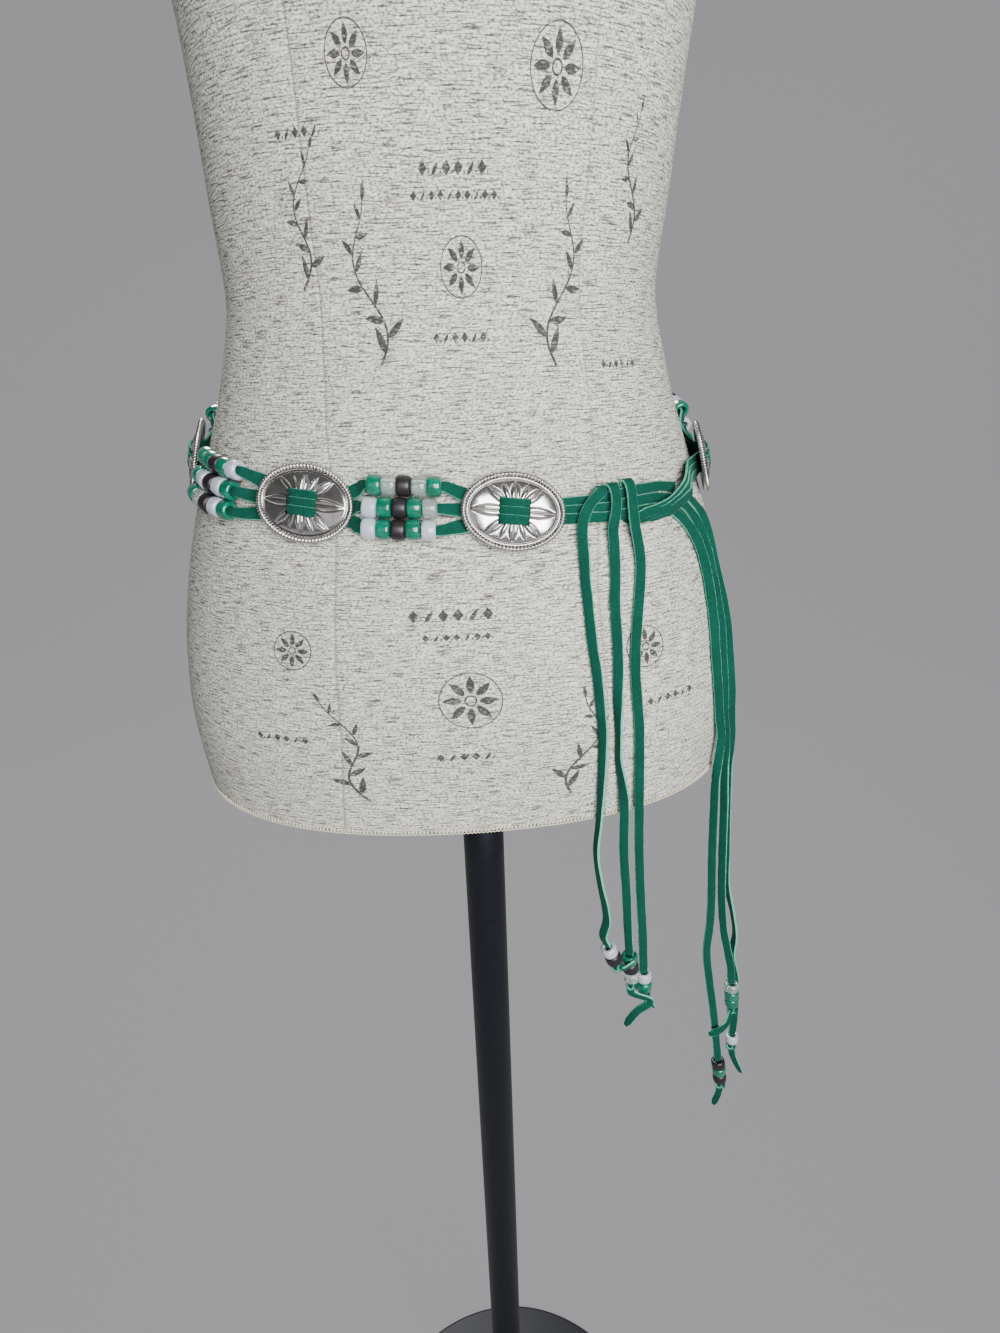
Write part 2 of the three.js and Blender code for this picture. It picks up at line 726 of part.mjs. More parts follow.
// ---------- Tails ----------
// Free ends, as routes of points. `onForm` rows lie on or hang down the form: angle, height above
// the hem, distance off the form, turn of the face in degrees. `free` rows hang clear of it:
// x, y, height above the hem, turn of the face.
const TAILS = {
  tail_left_1: {
    onForm: [
      [297.9, 162.4, 6.2, 0],
      [296.2, 160, 6.8, 5],
      [294.7, 156.5, 6.2, 10],
      [293.6, 151.5, 5, 15],
      [293.2, 146, 3.8, 22],
      [293.1, 140.5, 3.2, 28],
      [293, 132.5, 2.8, 33],
      [292.8, 123.5, 2.6, 35],
      [292.8, 114.5, 2.6, 36],
      [292.8, 94, 2.6, 36],
      [293.1, 80, 2.6, 38],
      [293.2, 67, 2.6, 42],
      [293.2, 51.5, 2.8, 50],
      [293.1, 35, 3, 62],
      [292.9, 15, 3.2, 74],
      [292.6, -1, 3.4, 82],
      [292.2, -17.5, 3.6, 85],
      [293.2, -38, 3.4, 75],
      [294.4, -54, 3.2, 65],
      [294.8, -65, 3.4, 60],
      [294, -74, 4, 60],
      [294.9, -81, 4.4, 60],
    ],
    beads: 2,
  },
  tail_left_2: {
    onForm: [
      [300.4, 163.2, 6.2, 0],
      [300.3, 160, 6.8, 4],
      [299.9, 155, 6.8, 8],
      [299.3, 150, 6.2, 12],
      [299, 145, 4.8, 20],
      [299.2, 140, 3.6, 26],
      [299, 131, 2.8, 30],
      [298.6, 122, 2.6, 31],
      [298, 113, 2.6, 31],
      [297.5, 92, 2.6, 32],
      [297, 78, 2.8, 36],
      [296.5, 65.5, 3, 52],
      [296.2, 55, 3.2, 75],
      [296.1, 45, 3.2, 85],
      [296.2, 34, 3.2, 80],
      [297, 22, 3, 62],
      [297.7, 8, 3, 38],
      [298, -21, 3, 25],
      [299, -50, 3, 30],
      [299.7, -77, 3.4, 45],
      [300.1, -92, 4, 50],
    ],
    beads: 3,
  },
  tail_left_3: {
    onForm: [
      [304, 164.3, 6.2, 0],
      [303.8, 160, 6.8, 3],
      [303.4, 154, 6.8, 6],
      [303.3, 148, 6.4, 10],
      [303.8, 142, 4.8, 16],
      [304.4, 136, 3.4, 22],
      [304.4, 128, 2.8, 26],
      [303.8, 120, 2.6, 27],
      [302.9, 111, 2.6, 27],
      [301.9, 100, 2.6, 28],
      [301.1, 90.5, 2.6, 28],
      [300.5, 77, 2.6, 29],
      [300.4, 63.5, 2.6, 29],
      [300.4, 50, 2.6, 29],
      [300.5, 36.5, 2.6, 29],
      [301, 7, 2.6, 29],
      [301.5, -24.5, 2.8, 28],
      [302.5, -59.5, 3, 27],
      [303.2, -81, 3.4, 26],
      [303.8, -110, 4, 25],
    ],
    beads: 2,
  },
  tail_right_1: {
    onForm: [
      [320.3, 158, 1.4, 0],
      [323.6, 153.8, 1.4, 0],
      [327, 149.8, 1.6, 8],
      [329.6, 146, 2.4, 30],
      [330.4, 139, 2.8, 45],
      [330.2, 126.5, 2.9, 55],
      [330.4, 113.5, 2.9, 60],
      [332.6, 97, 2.9, 65],
      [333.4, 81.5, 2.9, 65],
      [332.4, 67, 3.2, 65],
      [330.8, 46.5, 4, 60],
      [331.6, 32, 4.4, 60],
      [334.8, 14, 5, 50],
    ],
    free: [
      [145.8, -44, -6, 45],
      [147.4, -45.5, -42, 40],
      [149, -46.5, -67, 40],
      [151, -47.5, -92, 60],
      [157, -48.5, -117, 80],
      [159.4, -49.5, -132, 80],
      [158.6, -50.2, -148, 60],
      [161.8, -51.5, -165, 40],
      [163.6, -52.4, -185, 20],
      [164, -53.2, -204, 10],
      [163.8, -53.6, -216, 0],
    ],
    beads: 1,
  },
  tail_right_2: {
    onForm: [
      [318, 153, 1.4, 0],
      [320.4, 150.2, 1.6, 4],
      [322, 146, 2.2, 22],
      [323.2, 140.5, 2.8, 40],
      [325, 129, 2.9, 52],
      [326.9, 115.5, 2.9, 57],
      [327.8, 100, 2.9, 57],
      [327.8, 85.5, 2.9, 58],
      [327.2, 71, 2.9, 58],
      [326.6, 49.5, 2.9, 57],
      [327.2, 35.5, 3.2, 55],
      [330.2, 17, 3.6, 50],
    ],
    free: [
      [140.2, -52, -4, 45],
      [141.5, -54, -30, 40],
      [143, -55, -62, 35],
      [145, -56, -94, 30],
      [148.4, -56.6, -120, 30],
      [152.4, -57, -138, 20],
      [155.6, -57.2, -152, 10],
      [157, -57.4, -165, 0],
    ],
    beads: 3,
  },
  tail_right_3: {
    onForm: [
      [315.8, 148.4, 1.4, 0],
      [316.6, 146, 1.8, 8],
      [317.8, 142.8, 2.4, 20],
      [319.2, 138.5, 2.8, 34],
      [321.3, 130.5, 2.9, 46],
      [323.6, 117, 2.9, 52],
      [324.4, 102, 2.9, 54],
      [324, 88, 2.9, 53],
      [323.4, 74, 2.9, 52],
      [323.2, 52.5, 2.9, 50],
      [324, 38.5, 3, 48],
      [326, 22, 3.4, 44],
    ],
    free: [
      [130.8, -64.2, -4, 40],
      [131.2, -65, -24, 30],
      [132.6, -65.2, -56, 20],
      [134.6, -65.4, -86, 10],
      [135.2, -65.8, -106, 5],
      [134.8, -66, -128, 0],
      [138, -66.2, -150, 0],
      [143, -66.4, -178, 0],
      [147, -66.6, -204, 0],
      [149.8, -66.8, -223, 0],
    ],
    beads: 3,
  },
};
// The short end beyond each knot, as steps from the knot: across, towards the viewer, up.
const TAG_ENDS = {
  tail_left_1: [[3, 1, -1], [9, 2, 5]],
  tail_left_2: [[-1, 2, -3], [10, 4, -9], [2, 6, -14], [-4, 5, -25]],
  tail_left_3: [[3, 1, -5], [6, 2, -9]],
  tail_right_1: [[2, 1, -9], [9, 2, -25]],
  tail_right_2: [[-6, 8, -3], [-13, 13, -3], [-20, 14, -5]],
  tail_right_3: [[-1, 1, -8], [-4, 2, -17]],
};
const KNOT = { across: 4.2, along: 3.6, sides: 8, rings: 5 };

function tailStations(tail) {
  const lying = tail.onForm.map(([angle, height, proud, twist]) => ({
    ...surfaceStation({ angle, height, proud }),
    twist,
  }));
  const front = new THREE.Vector3(0, -1, 0);
  const hanging = (tail.free ?? []).map(([x, y, height, twist]) => ({
    centre: new THREE.Vector3(x, y, HEM_HEIGHT + height),
    normal: front,
    twist,
  }));
  return [...lying, ...hanging];
}

// The line that the beads and the knot follow on from a tail's last two points.
function lineBeyond(stations) {
  const end = stations[stations.length - 1].centre;
  const forward = end.clone().sub(stations[stations.length - 2].centre).normalize();
  const u = new THREE.Vector3(0, -1, 0);
  u.addScaledVector(forward, -u.dot(forward)).normalize();
  const v = new THREE.Vector3().crossVectors(forward, u);
  return (offset) => ({ centre: end.clone().addScaledVector(forward, offset), u, v });
}

function tailBeads(at, count) {
  return loft(beadRings(at, GAP, count));
}

function knot(at, start, tagSteps) {
  const centre = at(start + KNOT.along).centre;
  const ball = new THREE.SphereGeometry(1, KNOT.sides, KNOT.rings);
  ball.deleteAttribute("normal");
  ball.deleteAttribute("uv");
  ball.rotateX(Math.PI / 2);
  ball.scale(KNOT.across, KNOT.across, KNOT.along);
  ball.translate(centre.x, centre.y, centre.z);
  const lump = solidOf(facingOut(withoutFlatFaces(mergeVertices(ball, 1e-4))));
  const path = [[0, 0, 0], ...tagSteps].map(([x, towards, up]) =>
    centre.clone().add(new THREE.Vector3(x, -towards, up)),
  );
  const front = new THREE.Vector3(0, -1, 0);
  const stations = path.map((point) => ({ centre: point, normal: front }));
  const sides = withSides(stations, new THREE.Vector3(1, 0, 0));
  return geometryFrom(lump.add(solidOf(strip(sides, LACE.width, LACE.thickness))));
}

// ---------- Assembly ----------
const object = new THREE.Group();

function addPiece(name, geometry, material) {
  const mesh = new THREE.Mesh(geometry, material);
  mesh.name = name;
  object.add(mesh);
}

addPiece("foot", foot(), materials.darkMetal);
addPiece("pole", pole(), materials.darkMetal);
addPiece("pole_collar", collar(), materials.darkMetal);
addPiece("form_body", formBody(), materials.fabric);
addPiece("neck_cap", neckCap(), materials.cap);

const ROW_NAMES = ["top", "middle", "bottom"];
for (let number = 1; number <= CONCHO_COUNT; number++) {
  addPiece(`concho_${number}`, concho(number), materials.silver);
}
for (let space = 0; space < CONCHO_COUNT - 1; space++) {
  ROW_NAMES.forEach((name, row) => {
    const geometry = beadRow(rowMiddle(space, row), spreadAside(row));
    addPiece(`beads_${space + 1}_${name}`, geometry, materials.bead);
  });
}

ROW_NAMES.forEach((name, row) => addPiece(`belt_lace_${name}`, beltLace(row), materials.suede));

for (const [name, tail] of Object.entries(TAILS)) {
  const stations = tailStations(tail);
  const sides = withSides(stations, new THREE.Vector3(1, 0, 0));
  addPiece(name, strip(sides, LACE.width, LACE.thickness), materials.suede);
  const beyond = lineBeyond(stations);
  addPiece(`${name}_beads`, tailBeads(beyond, tail.beads), materials.bead);
  const beadsEnd = GAP + tail.beads * BEAD.length;
  addPiece(`${name}_knot`, knot(beyond, beadsEnd + GAP, TAG_ENDS[name]), materials.suede);
}

export default object;
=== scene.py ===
"""The looks of the concho belt and the dress form that it is tied on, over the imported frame.

Sizes are in millimetres in the tables and helpers, and become metres where a mesh is made.
-Y is the front, +X the viewer's right, +Z up, and the origin is the middle of the foot.
"""

import math

import bpy
import numpy as np
from mathutils import Matrix, Vector


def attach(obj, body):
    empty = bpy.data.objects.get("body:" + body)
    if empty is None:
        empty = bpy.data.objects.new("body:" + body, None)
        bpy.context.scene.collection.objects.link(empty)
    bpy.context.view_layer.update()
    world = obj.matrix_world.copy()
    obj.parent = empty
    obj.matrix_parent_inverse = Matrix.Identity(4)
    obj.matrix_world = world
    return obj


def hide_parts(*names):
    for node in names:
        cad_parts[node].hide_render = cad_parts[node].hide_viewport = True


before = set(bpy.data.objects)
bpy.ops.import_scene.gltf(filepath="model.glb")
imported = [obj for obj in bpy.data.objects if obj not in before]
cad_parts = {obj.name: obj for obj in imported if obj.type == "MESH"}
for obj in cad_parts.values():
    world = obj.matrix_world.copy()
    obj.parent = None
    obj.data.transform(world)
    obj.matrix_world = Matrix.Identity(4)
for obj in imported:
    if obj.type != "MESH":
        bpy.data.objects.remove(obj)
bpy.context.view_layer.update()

MM = 0.001
HEM_HEIGHT = 1000.0
UP = np.array([0.0, 0.0, 1.0])
FRONT = np.array([0.0, -1.0, 0.0])
ACROSS = np.array([1.0, 0.0, 0.0])
rng = np.random.default_rng(7)


# ---------- Camera ----------
FRAME_WIDTH = 1000  # the picture's own pixels
FOCAL_PIXELS = 731.4
CAMERA = {"across": -8.6, "away": -411.8, "above_hem": 215.5}
CAMERA_DEGREES = {"turn": -3.24, "down": 22.5, "roll": -1.83}
SENSOR_WIDTH = 36.0


def make_camera():
    data = bpy.data.cameras.new("camera")
    data.sensor_fit = "HORIZONTAL"
    data.sensor_width = SENSOR_WIDTH
    data.lens = SENSOR_WIDTH * FOCAL_PIXELS / FRAME_WIDTH
    data.clip_start = 0.01
    camera = bpy.data.objects.new("camera", data)
    bpy.context.scene.collection.objects.link(camera)
    turn, down, roll = (math.radians(CAMERA_DEGREES[k]) for k in ("turn", "down", "roll"))
    ahead = np.array([
        -math.sin(turn) * math.cos(down),
        math.cos(turn) * math.cos(down),
        -math.sin(down),
    ])
    level = np.array([math.cos(turn), math.sin(turn), 0.0])
    above = np.cross(level, ahead)
    right = level * math.cos(roll) + above * math.sin(roll)
    upward = above * math.cos(roll) - level * math.sin(roll)
    place = [CAMERA["across"] * MM, CAMERA["away"] * MM, (HEM_HEIGHT + CAMERA["above_hem"]) * MM]
    camera.matrix_world = Matrix([
        [right[0], upward[0], -ahead[0], place[0]],
        [right[1], upward[1], -ahead[1], place[1]],
        [right[2], upward[2], -ahead[2], place[2]],
        [0, 0, 0, 1],
    ])
    bpy.context.scene.camera = camera


make_camera()


# ---------- The form's surface ----------
SECTION_COLUMNS = ("height", "half", "centre", "front", "back")
FORM_SECTIONS = [
    (0, 155, -7, 109, 110),
    (40, 157.5, -7, 110.5, 116),
    (75, 154, -8, 108, 114),
    (110, 147, -8.5, 103, 104),
    (145, 137, -8.5, 97, 91),
    (180, 124, -8.5, 88.5, 77),
    (215, 112.5, -8, 81.5, 68),
    (250, 105.5, -7.5, 77.5, 64),
    (285, 108, -6, 79, 65),
    (320, 110, -4.5, 81, 68),
    (360, 113, -3, 88, 75),
    (400, 121, -2, 97, 82),
    (435, 130, -1, 101, 87),
    (470, 136, 0, 96, 91),
    (510, 146, 0, 80, 92),
    (550, 158, 0, 64, 86),
    (580, 163, 0, 54, 74),
    (605, 152, 0, 46, 60),
    (622, 112, 0, 43, 53),
    (638, 74, 0, 42, 47),
    (660, 58, 0, 43, 45),
    (690, 52, 0, 43, 43),
    (720, 51, 0, 43, 43),
]
FORM_TOP = FORM_SECTIONS[-1][0]
FORM_CENTRE_Y = 3.0
FORM_SQUARENESS = 0.046
BUST = {"height": 432, "rise": 17, "spread": 42, "angle": 30, "width": 17}
ARM_PLATE_HALF = 150.0
ARM_PLATE_FROM = 505.0
HANG_HEIGHT = 40.0

BELT_LINE = [
    (0, 178), (20, 186), (50, 193), (90, 196), (130, 194), (160, 189), (180, 182), (200, 174),
    (221, 165.5), (244, 160.5), (268, 157.5), (290, 154), (308, 155), (325, 161), (344, 167),
]
BELT_PROUD = 4.0
SLOPE_STEP = 0.5  # degrees or millimetres to either side, where a slope is taken


def smooth_through(at, values):
    """A monotone cubic through the points, as a function that takes arrays."""
    at = np.asarray(at, float)
    values = np.asarray(values, float)
    slope = np.diff(values) / np.diff(at)
    same_way = slope[:-1] * slope[1:]
    total = slope[:-1] + slope[1:]
    inner = np.where(same_way > 0, 2 * same_way / np.where(total == 0, 1, total), 0)
    tangent = np.concatenate([slope[:1], inner, slope[-1:]])

    def curve(x):
        x = np.clip(np.asarray(x, float), at[0], at[-1])
        i = np.clip(np.searchsorted(at, x, side="right") - 1, 0, len(slope) - 1)
        step = at[i + 1] - at[i]
        u = (x - at[i]) / step
        rise = values[i + 1] - values[i]
        start = tangent[i] * step
        end = tangent[i + 1] * step
        return values[i] + u * (start + u * (3 * rise - 2 * start - end + u * (start + end - 2 * rise)))

    return curve


_sections = np.array(FORM_SECTIONS, float)
section_at = {
    name: smooth_through(_sections[:, 0], _sections[:, i])
    for i, name in enumerate(SECTION_COLUMNS)
    if name != "height"
}
_belt_line = np.array(BELT_LINE, float)
belt_height_at = smooth_through(
    np.concatenate([_belt_line[:, 0] + turn for turn in (-360, 0, 360)]),
    np.tile(_belt_line[:, 1], 3),
)


def bust_swell(angle, height):
    up = np.exp(-(((height - BUST["height"]) / BUST["spread"]) ** 2))
    from_front = np.mod(angle, 360) - 270
    across = sum(
        np.exp(-(((from_front - side) / BUST["width"]) ** 2))
        for side in (-BUST["angle"], BUST["angle"])
    )
    return BUST["rise"] * up * across


def form_point(angle, height, proud=0.0, section_height=None):
    """Points on the form, or proud of it, from degrees round it and heights above its hem."""
    angle = np.asarray(angle, float)
    height = np.asarray(height, float)
    level = height if section_height is None else np.asarray(section_height, float)
    turn = np.radians(angle)
    corner = 1 + FORM_SQUARENESS * np.sin(2 * turn) ** 2
    out = proud + bust_swell(angle, level)
    depth = np.where(np.sin(turn) < 0, section_at["front"](level), section_at["back"](level))
    x = section_at["centre"](level) + (section_at["half"](level) + out) * np.cos(turn) * corner
    y = FORM_CENTRE_Y + (depth + out) * np.sin(turn) * corner
    return np.stack(np.broadcast_arrays(x, y, HEM_HEIGHT + height), -1)


def unit(vectors):
    vectors = np.asarray(vectors, float)
    return vectors / np.maximum(np.linalg.norm(vectors, axis=-1, keepdims=True), 1e-9)


def reach_along(points):
    """How far along a line each of its points lies."""
    return np.concatenate([[0], np.cumsum(np.linalg.norm(np.diff(points, axis=0), axis=1))])


def turns(count):
    """Angles in radians, spaced evenly round a circle."""
    return 2 * np.pi * np.arange(count) / count


def ring_of(turn, first, second):
    """Points of a unit circle in the plane of two directions, or of one for each row of them."""
    return np.cos(turn)[:, None] * first[..., None, :] + np.sin(turn)[:, None] * second[..., None, :]


def form_normal(angle, height):
    along = form_point(angle + SLOPE_STEP, height) - form_point(angle - SLOPE_STEP, height)
    upward = form_point(angle, height + SLOPE_STEP) - form_point(angle, height - SLOPE_STEP)
    return unit(np.cross(along, upward))


# ---------- The belt's own coordinates: along it, aside of it, proud of the form ----------
FIRST_CONCHO_ANGLE = 281.0
LOOP_STEP = 0.5
LOOP_END = FIRST_CONCHO_ANGLE + 90
_loop_angles = np.arange(FIRST_CONCHO_ANGLE - 360, LOOP_END + LOOP_STEP / 2, LOOP_STEP)
_loop_along = reach_along(form_point(_loop_angles, belt_height_at(_loop_angles), BELT_PROUD))
LOOP_LENGTH = float(np.interp(FIRST_CONCHO_ANGLE, _loop_angles, _loop_along))
_loop_along -= LOOP_LENGTH


def belt_frames(along):
    """Origins on the form, and unit vectors along the belt, up it and out of the form."""
    angle = np.interp(along, _loop_along, _loop_angles)
    height = belt_height_at(angle)
    normal = form_normal(angle, height)
    before, after = (form_point(at, belt_height_at(at)) for at in (angle - SLOPE_STEP, angle + SLOPE_STEP))
    tangent = after - before
    tangent = unit(tangent - normal * np.sum(tangent * normal, -1, keepdims=True))
    return form_point(angle, height), tangent, np.cross(normal, tangent), normal


CONCHO_COUNT = 7
FRONT_PITCHES = (93.0, 95.0)
TIE_LENGTH = 134.0
BACK_SPACES = CONCHO_COUNT - 1 - len(FRONT_PITCHES)
BACK_PITCH = (LOOP_LENGTH - TIE_LENGTH - sum(FRONT_PITCHES)) / BACK_SPACES
PITCHES = [*FRONT_PITCHES, *([BACK_PITCH] * BACK_SPACES)]
CONCHO_ALONG = [-sum(PITCHES[:i]) for i in range(CONCHO_COUNT)]
# How single conchos sit: turned in their own plane and leaning out at the top, both in
# degrees, and raised off the form.
CONCHO_SEATS = {1: (-3, 0, 0), 2: (-2, 0, 0), 3: (0, 4, 0.6), 7: (0, 9, 1.3)}
ROW_NAMES = ("top", "middle", "bottom")
ROW_PITCH = 9.3
BEAD_PROUD = 5.3
# How far the bead rows of the first spaces have slid along their laces.
ROW_SLIDES = [(-1.5, -3.2, -3.7), (-4, -5, -5)]


def row_middle(space, row):
    slide = ROW_SLIDES[space][row] if space < len(ROW_SLIDES) else 0.0
    return (CONCHO_ALONG[space] + CONCHO_ALONG[space + 1]) / 2 + slide


def concho_frame(number):
    """Origin and unit vectors across, up and out of a concho, counted from 1."""
    along = np.array([CONCHO_ALONG[number - 1]])
    origin, tangent, upward, normal = (v[0] for v in belt_frames(along))
    turn, lean, raised = CONCHO_SEATS.get(number, (0, 0, 0))
    turn, lean = math.radians(turn), math.radians(lean)
    above = upward * math.cos(lean) + normal * math.sin(lean)
    outward = normal * math.cos(lean) - upward * math.sin(lean)
    across = tangent * math.cos(turn) + above * math.sin(turn)
    above = above * math.cos(turn) - tangent * math.sin(turn)
    return origin + normal * raised, across, above, outward


# ---------- Mesh helpers ----------
def mesh_piece(name, points, faces, materials):
    """A smooth mesh object from points in millimetres, riding on the one body."""
    mesh = bpy.data.meshes.new(name)
    mesh.from_pydata((np.asarray(points) * MM).tolist(), [], [list(map(int, f)) for f in faces])
    mesh.validate()
    for material in materials if isinstance(materials, list) else [materials]:
        mesh.materials.append(material)
    mesh.polygons.foreach_set("use_smooth", [True] * len(mesh.polygons))
    piece = bpy.data.objects.new(name, mesh)
    bpy.context.scene.collection.objects.link(piece)
    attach(piece, "root")
    return piece


def grid_faces(rows, columns, close_columns=False, close_rows=False, start=0):
    """Quads over a grid of points stored row by row."""
    r = np.arange(rows if close_rows else rows - 1)
    c = np.arange(columns if close_columns else columns - 1)
    r, c = np.meshgrid(r, c, indexing="ij")
    r2 = (r + 1) % rows
    c2 = (c + 1) % columns
    quads = [r * columns + c, r * columns + c2, r2 * columns + c2, r2 * columns + c]
    return np.stack([q.ravel() for q in quads], 1) + start


def point_attribute(piece, name, values):
    attribute = piece.data.attributes.new(name, "FLOAT", "POINT")
    attribute.data.foreach_set("value", np.asarray(values, np.float32).ravel())


def smooth_line(points, step):
    """A Catmull-Rom line through the points, resampled evenly, with each sample's place in
    the list of points so that other columns can follow it."""
    points = np.asarray(points, float)
    first = 2 * points[0] - points[1]
    last = 2 * points[-1] - points[-2]
    p = np.vstack([first, points, last])
    gap = np.maximum(np.linalg.norm(np.diff(p, axis=0), axis=1) ** 0.5, 1e-4)
    line, index = [], []
    for i in range(1, len(p) - 2):
        t0, t1 = 0.0, gap[i - 1]
        t2, t3 = t1 + gap[i], t1 + gap[i] + gap[i + 1]
        count = max(4, int(np.ceil(np.linalg.norm(p[i + 1] - p[i]) / step)) * 2)
        u = np.linspace(0, 1, count, endpoint=False)[:, None]
        t = t1 + u * (t2 - t1)
        a1 = (t1 - t) / (t1 - t0) * p[i - 1] + (t - t0) / (t1 - t0) * p[i]
        a2 = (t2 - t) / (t2 - t1) * p[i] + (t - t1) / (t2 - t1) * p[i + 1]
        a3 = (t3 - t) / (t3 - t2) * p[i + 1] + (t - t2) / (t3 - t2) * p[i + 2]
        b1 = (t2 - t) / (t2 - t0) * a1 + (t - t0) / (t2 - t0) * a2
        b2 = (t3 - t) / (t3 - t1) * a2 + (t - t1) / (t3 - t1) * a3
        line.append((t2 - t) / (t2 - t1) * b1 + (t - t1) / (t2 - t1) * b2)
        index.append(i - 1 + u[:, 0])
    line = np.vstack([*line, points[-1:]])
    index = np.concatenate([*index, [len(points) - 1]])
    reach = reach_along(line)
    samples = np.linspace(0, reach[-1], max(2, int(round(reach[-1] / step)) + 1))
    even = np.stack([np.interp(samples, reach, line[:, k]) for k in range(3)], 1)
    return even, np.interp(samples, reach, index)


def follow(index, column):
    """A column's value at fractional places in the list of points."""
    column = np.asarray(column, float)
    where = np.arange(len(column))
    if column.ndim == 1:
        return np.interp(index, where, column)
    return np.stack([np.interp(index, where, column[:, k]) for k in range(column.shape[1])], 1)


def line_length(points):
    return float(np.sum(np.linalg.norm(np.diff(points, axis=0), axis=1)))


# ---------- Materials ----------
WHITE = (1, 1, 1)


class Look:
    """A material, with short ways to add nodes to its principled shader."""

    def __init__(self, name):
        self.material = bpy.data.materials.new(name)
        self.material.use_nodes = True
        self.nodes = self.material.node_tree.nodes
        self.link = self.material.node_tree.links.new
        self.shader = self.nodes["Principled BSDF"]

    def node(self, kind, **properties):
        node = self.nodes.new(f"ShaderNode{kind}")
        for name, value in properties.items():
            setattr(node, name, value)
        return node

    def object_place(self):
        return self.node("TexCoord").outputs["Object"]

    def attribute(self, name):
        return self.node("Attribute", attribute_name=name).outputs["Fac"]

    def noise(self, place, scale, detail, roughness=0.5):
        """Noise over a place, with so many cells to the metre along each axis."""
        mapping = self.node("Mapping")
        mapping.inputs["Scale"].default_value = scale
        self.link(place, mapping.inputs["Vector"])
        texture = self.node("TexNoise")
        texture.inputs["Scale"].default_value = 1.0
        texture.inputs["Detail"].default_value = detail
        texture.inputs["Roughness"].default_value = roughness
        self.link(mapping.outputs["Vector"], texture.inputs["Vector"])
        return texture.outputs["Fac"]

    def ramp(self, factor, *stops):
        """A colour that follows a factor through stops of place and colour."""
        node = self.node("ValToRGB")
        elements = node.color_ramp.elements
        while len(elements) < len(stops):
            elements.new(0.5)
        for element, (place, colour) in zip(elements, stops):
            element.position = place
            element.color = (*colour, 1)
        self.link(factor, node.inputs["Fac"])
        return node.outputs["Color"]

    def mix(self, factor, a, b, blend="MIX"):
        """A colour mix; factor, a and b are sockets or values."""
        node = self.node("Mix", data_type="RGBA", blend_type=blend)
        for name, value in (("Factor", factor), ("A", a), ("B", b)):
            socket = next(s for s in node.inputs if s.name == name and s.enabled)
            if isinstance(value, bpy.types.NodeSocket):
                self.link(value, socket)
            else:
                socket.default_value = value
        return next(s for s in node.outputs if s.enabled)

    def bump(self, height, distance_mm, strength, under=None):
        """Relief from a height, over the relief given before it."""
        node = self.node("Bump")
        node.inputs["Strength"].default_value = strength
        node.inputs["Distance"].default_value = distance_mm * MM
        self.link(height, node.inputs["Height"])
        if under is not None:
            self.link(under, node.inputs["Normal"])
        self.link(node.outputs["Normal"], self.shader.inputs["Normal"])
        return node.outputs["Normal"]

    def finished(self, colour, **values):
        """The material, with its base colour and the shader's values, named with underscores."""
        self.link(colour, self.shader.inputs["Base Color"])
        for name, value in values.items():
            self.shader.inputs[name.replace("_", " ")].default_value = value
        return self.material


def jersey_material():
    look = Look("jersey")
    cloth = look.node("UVMap", uv_map="cloth").outputs["UV"]
    slub = look.noise(cloth, (110, 1500, 1), 3, 0.6)
    fleck = look.noise(cloth, (700, 1150, 1), 3, 0.7)
    patchy = look.noise(cloth, (9, 14, 1), 2)
    yarn = [(0.37, (0.17, 0.165, 0.14)), (0.47, (0.62, 0.61, 0.54)), (0.6, (0.84, 0.83, 0.75))]
    streak = look.ramp(slub, *yarn)
    speck = look.ramp(fleck, (0.39, (0.26, 0.26, 0.27)), (0.54, WHITE))
    tone = look.ramp(patchy, (0.3, (0.9, 0.9, 0.9)), (0.7, WHITE))
    colour = look.mix(1.0, look.mix(1.0, streak, speck, "MULTIPLY"), tone, "MULTIPLY")
    colour = look.mix(look.attribute("seam"), colour, (0.2, 0.19, 0.165, 1))
    look.bump(fleck, 0.2, 0.5, under=look.bump(slub, 0.35, 0.8))
    return look.finished(
        colour, Roughness=0.95, Specular_IOR_Level=0.1, Sheen_Weight=0.02, Sheen_Roughness=0.5
    )


def suede_material():
    look = Look("suede")
    place = look.object_place()
    nap = look.noise(place, (900, 900, 900), 5, 0.7)
    cloudy = look.noise(place, (110, 110, 60), 3)
    dye = [(0.3, (0.001, 0.044, 0.029)), (0.52, (0.0015, 0.067, 0.044)), (0.75, (0.003, 0.095, 0.063))]
    tone = look.ramp(cloudy, (0.3, (0.78, 0.8, 0.78)), (0.7, WHITE))
    colour = look.mix(1.0, look.ramp(nap, *dye), tone, "MULTIPLY")
    colour = look.mix(look.attribute("edge"), colour, (0.13, 0.46, 0.32, 1))
    look.bump(nap, 0.18, 0.7)
    return look.finished(
        colour,
        Roughness=0.9,
        Specular_IOR_Level=0.15,
        Sheen_Weight=0.12,
        Sheen_Roughness=0.4,
        Sheen_Tint=(0.4, 0.9, 0.7, 1),
    )


def silver_material():
    look = Look("antique_silver")
    wear = look.noise(look.object_place(), (260, 260, 260), 6, 0.6)
    recess = look.attribute("recess")
    polish = look.ramp(wear, (0.3, (0.50, 0.485, 0.475)), (0.65, (0.74, 0.72, 0.70)))
    rough = look.node("MapRange")
    rough.inputs["To Min"].default_value = 0.14
    rough.inputs["To Max"].default_value = 0.5
    look.link(recess, rough.inputs["Value"])
    look.link(rough.outputs["Result"], look.shader.inputs["Roughness"])
    look.bump(wear, 0.05, 0.35)
    return look.finished(look.mix(recess, polish, (0.02, 0.017, 0.019, 1)), Metallic=0.95)


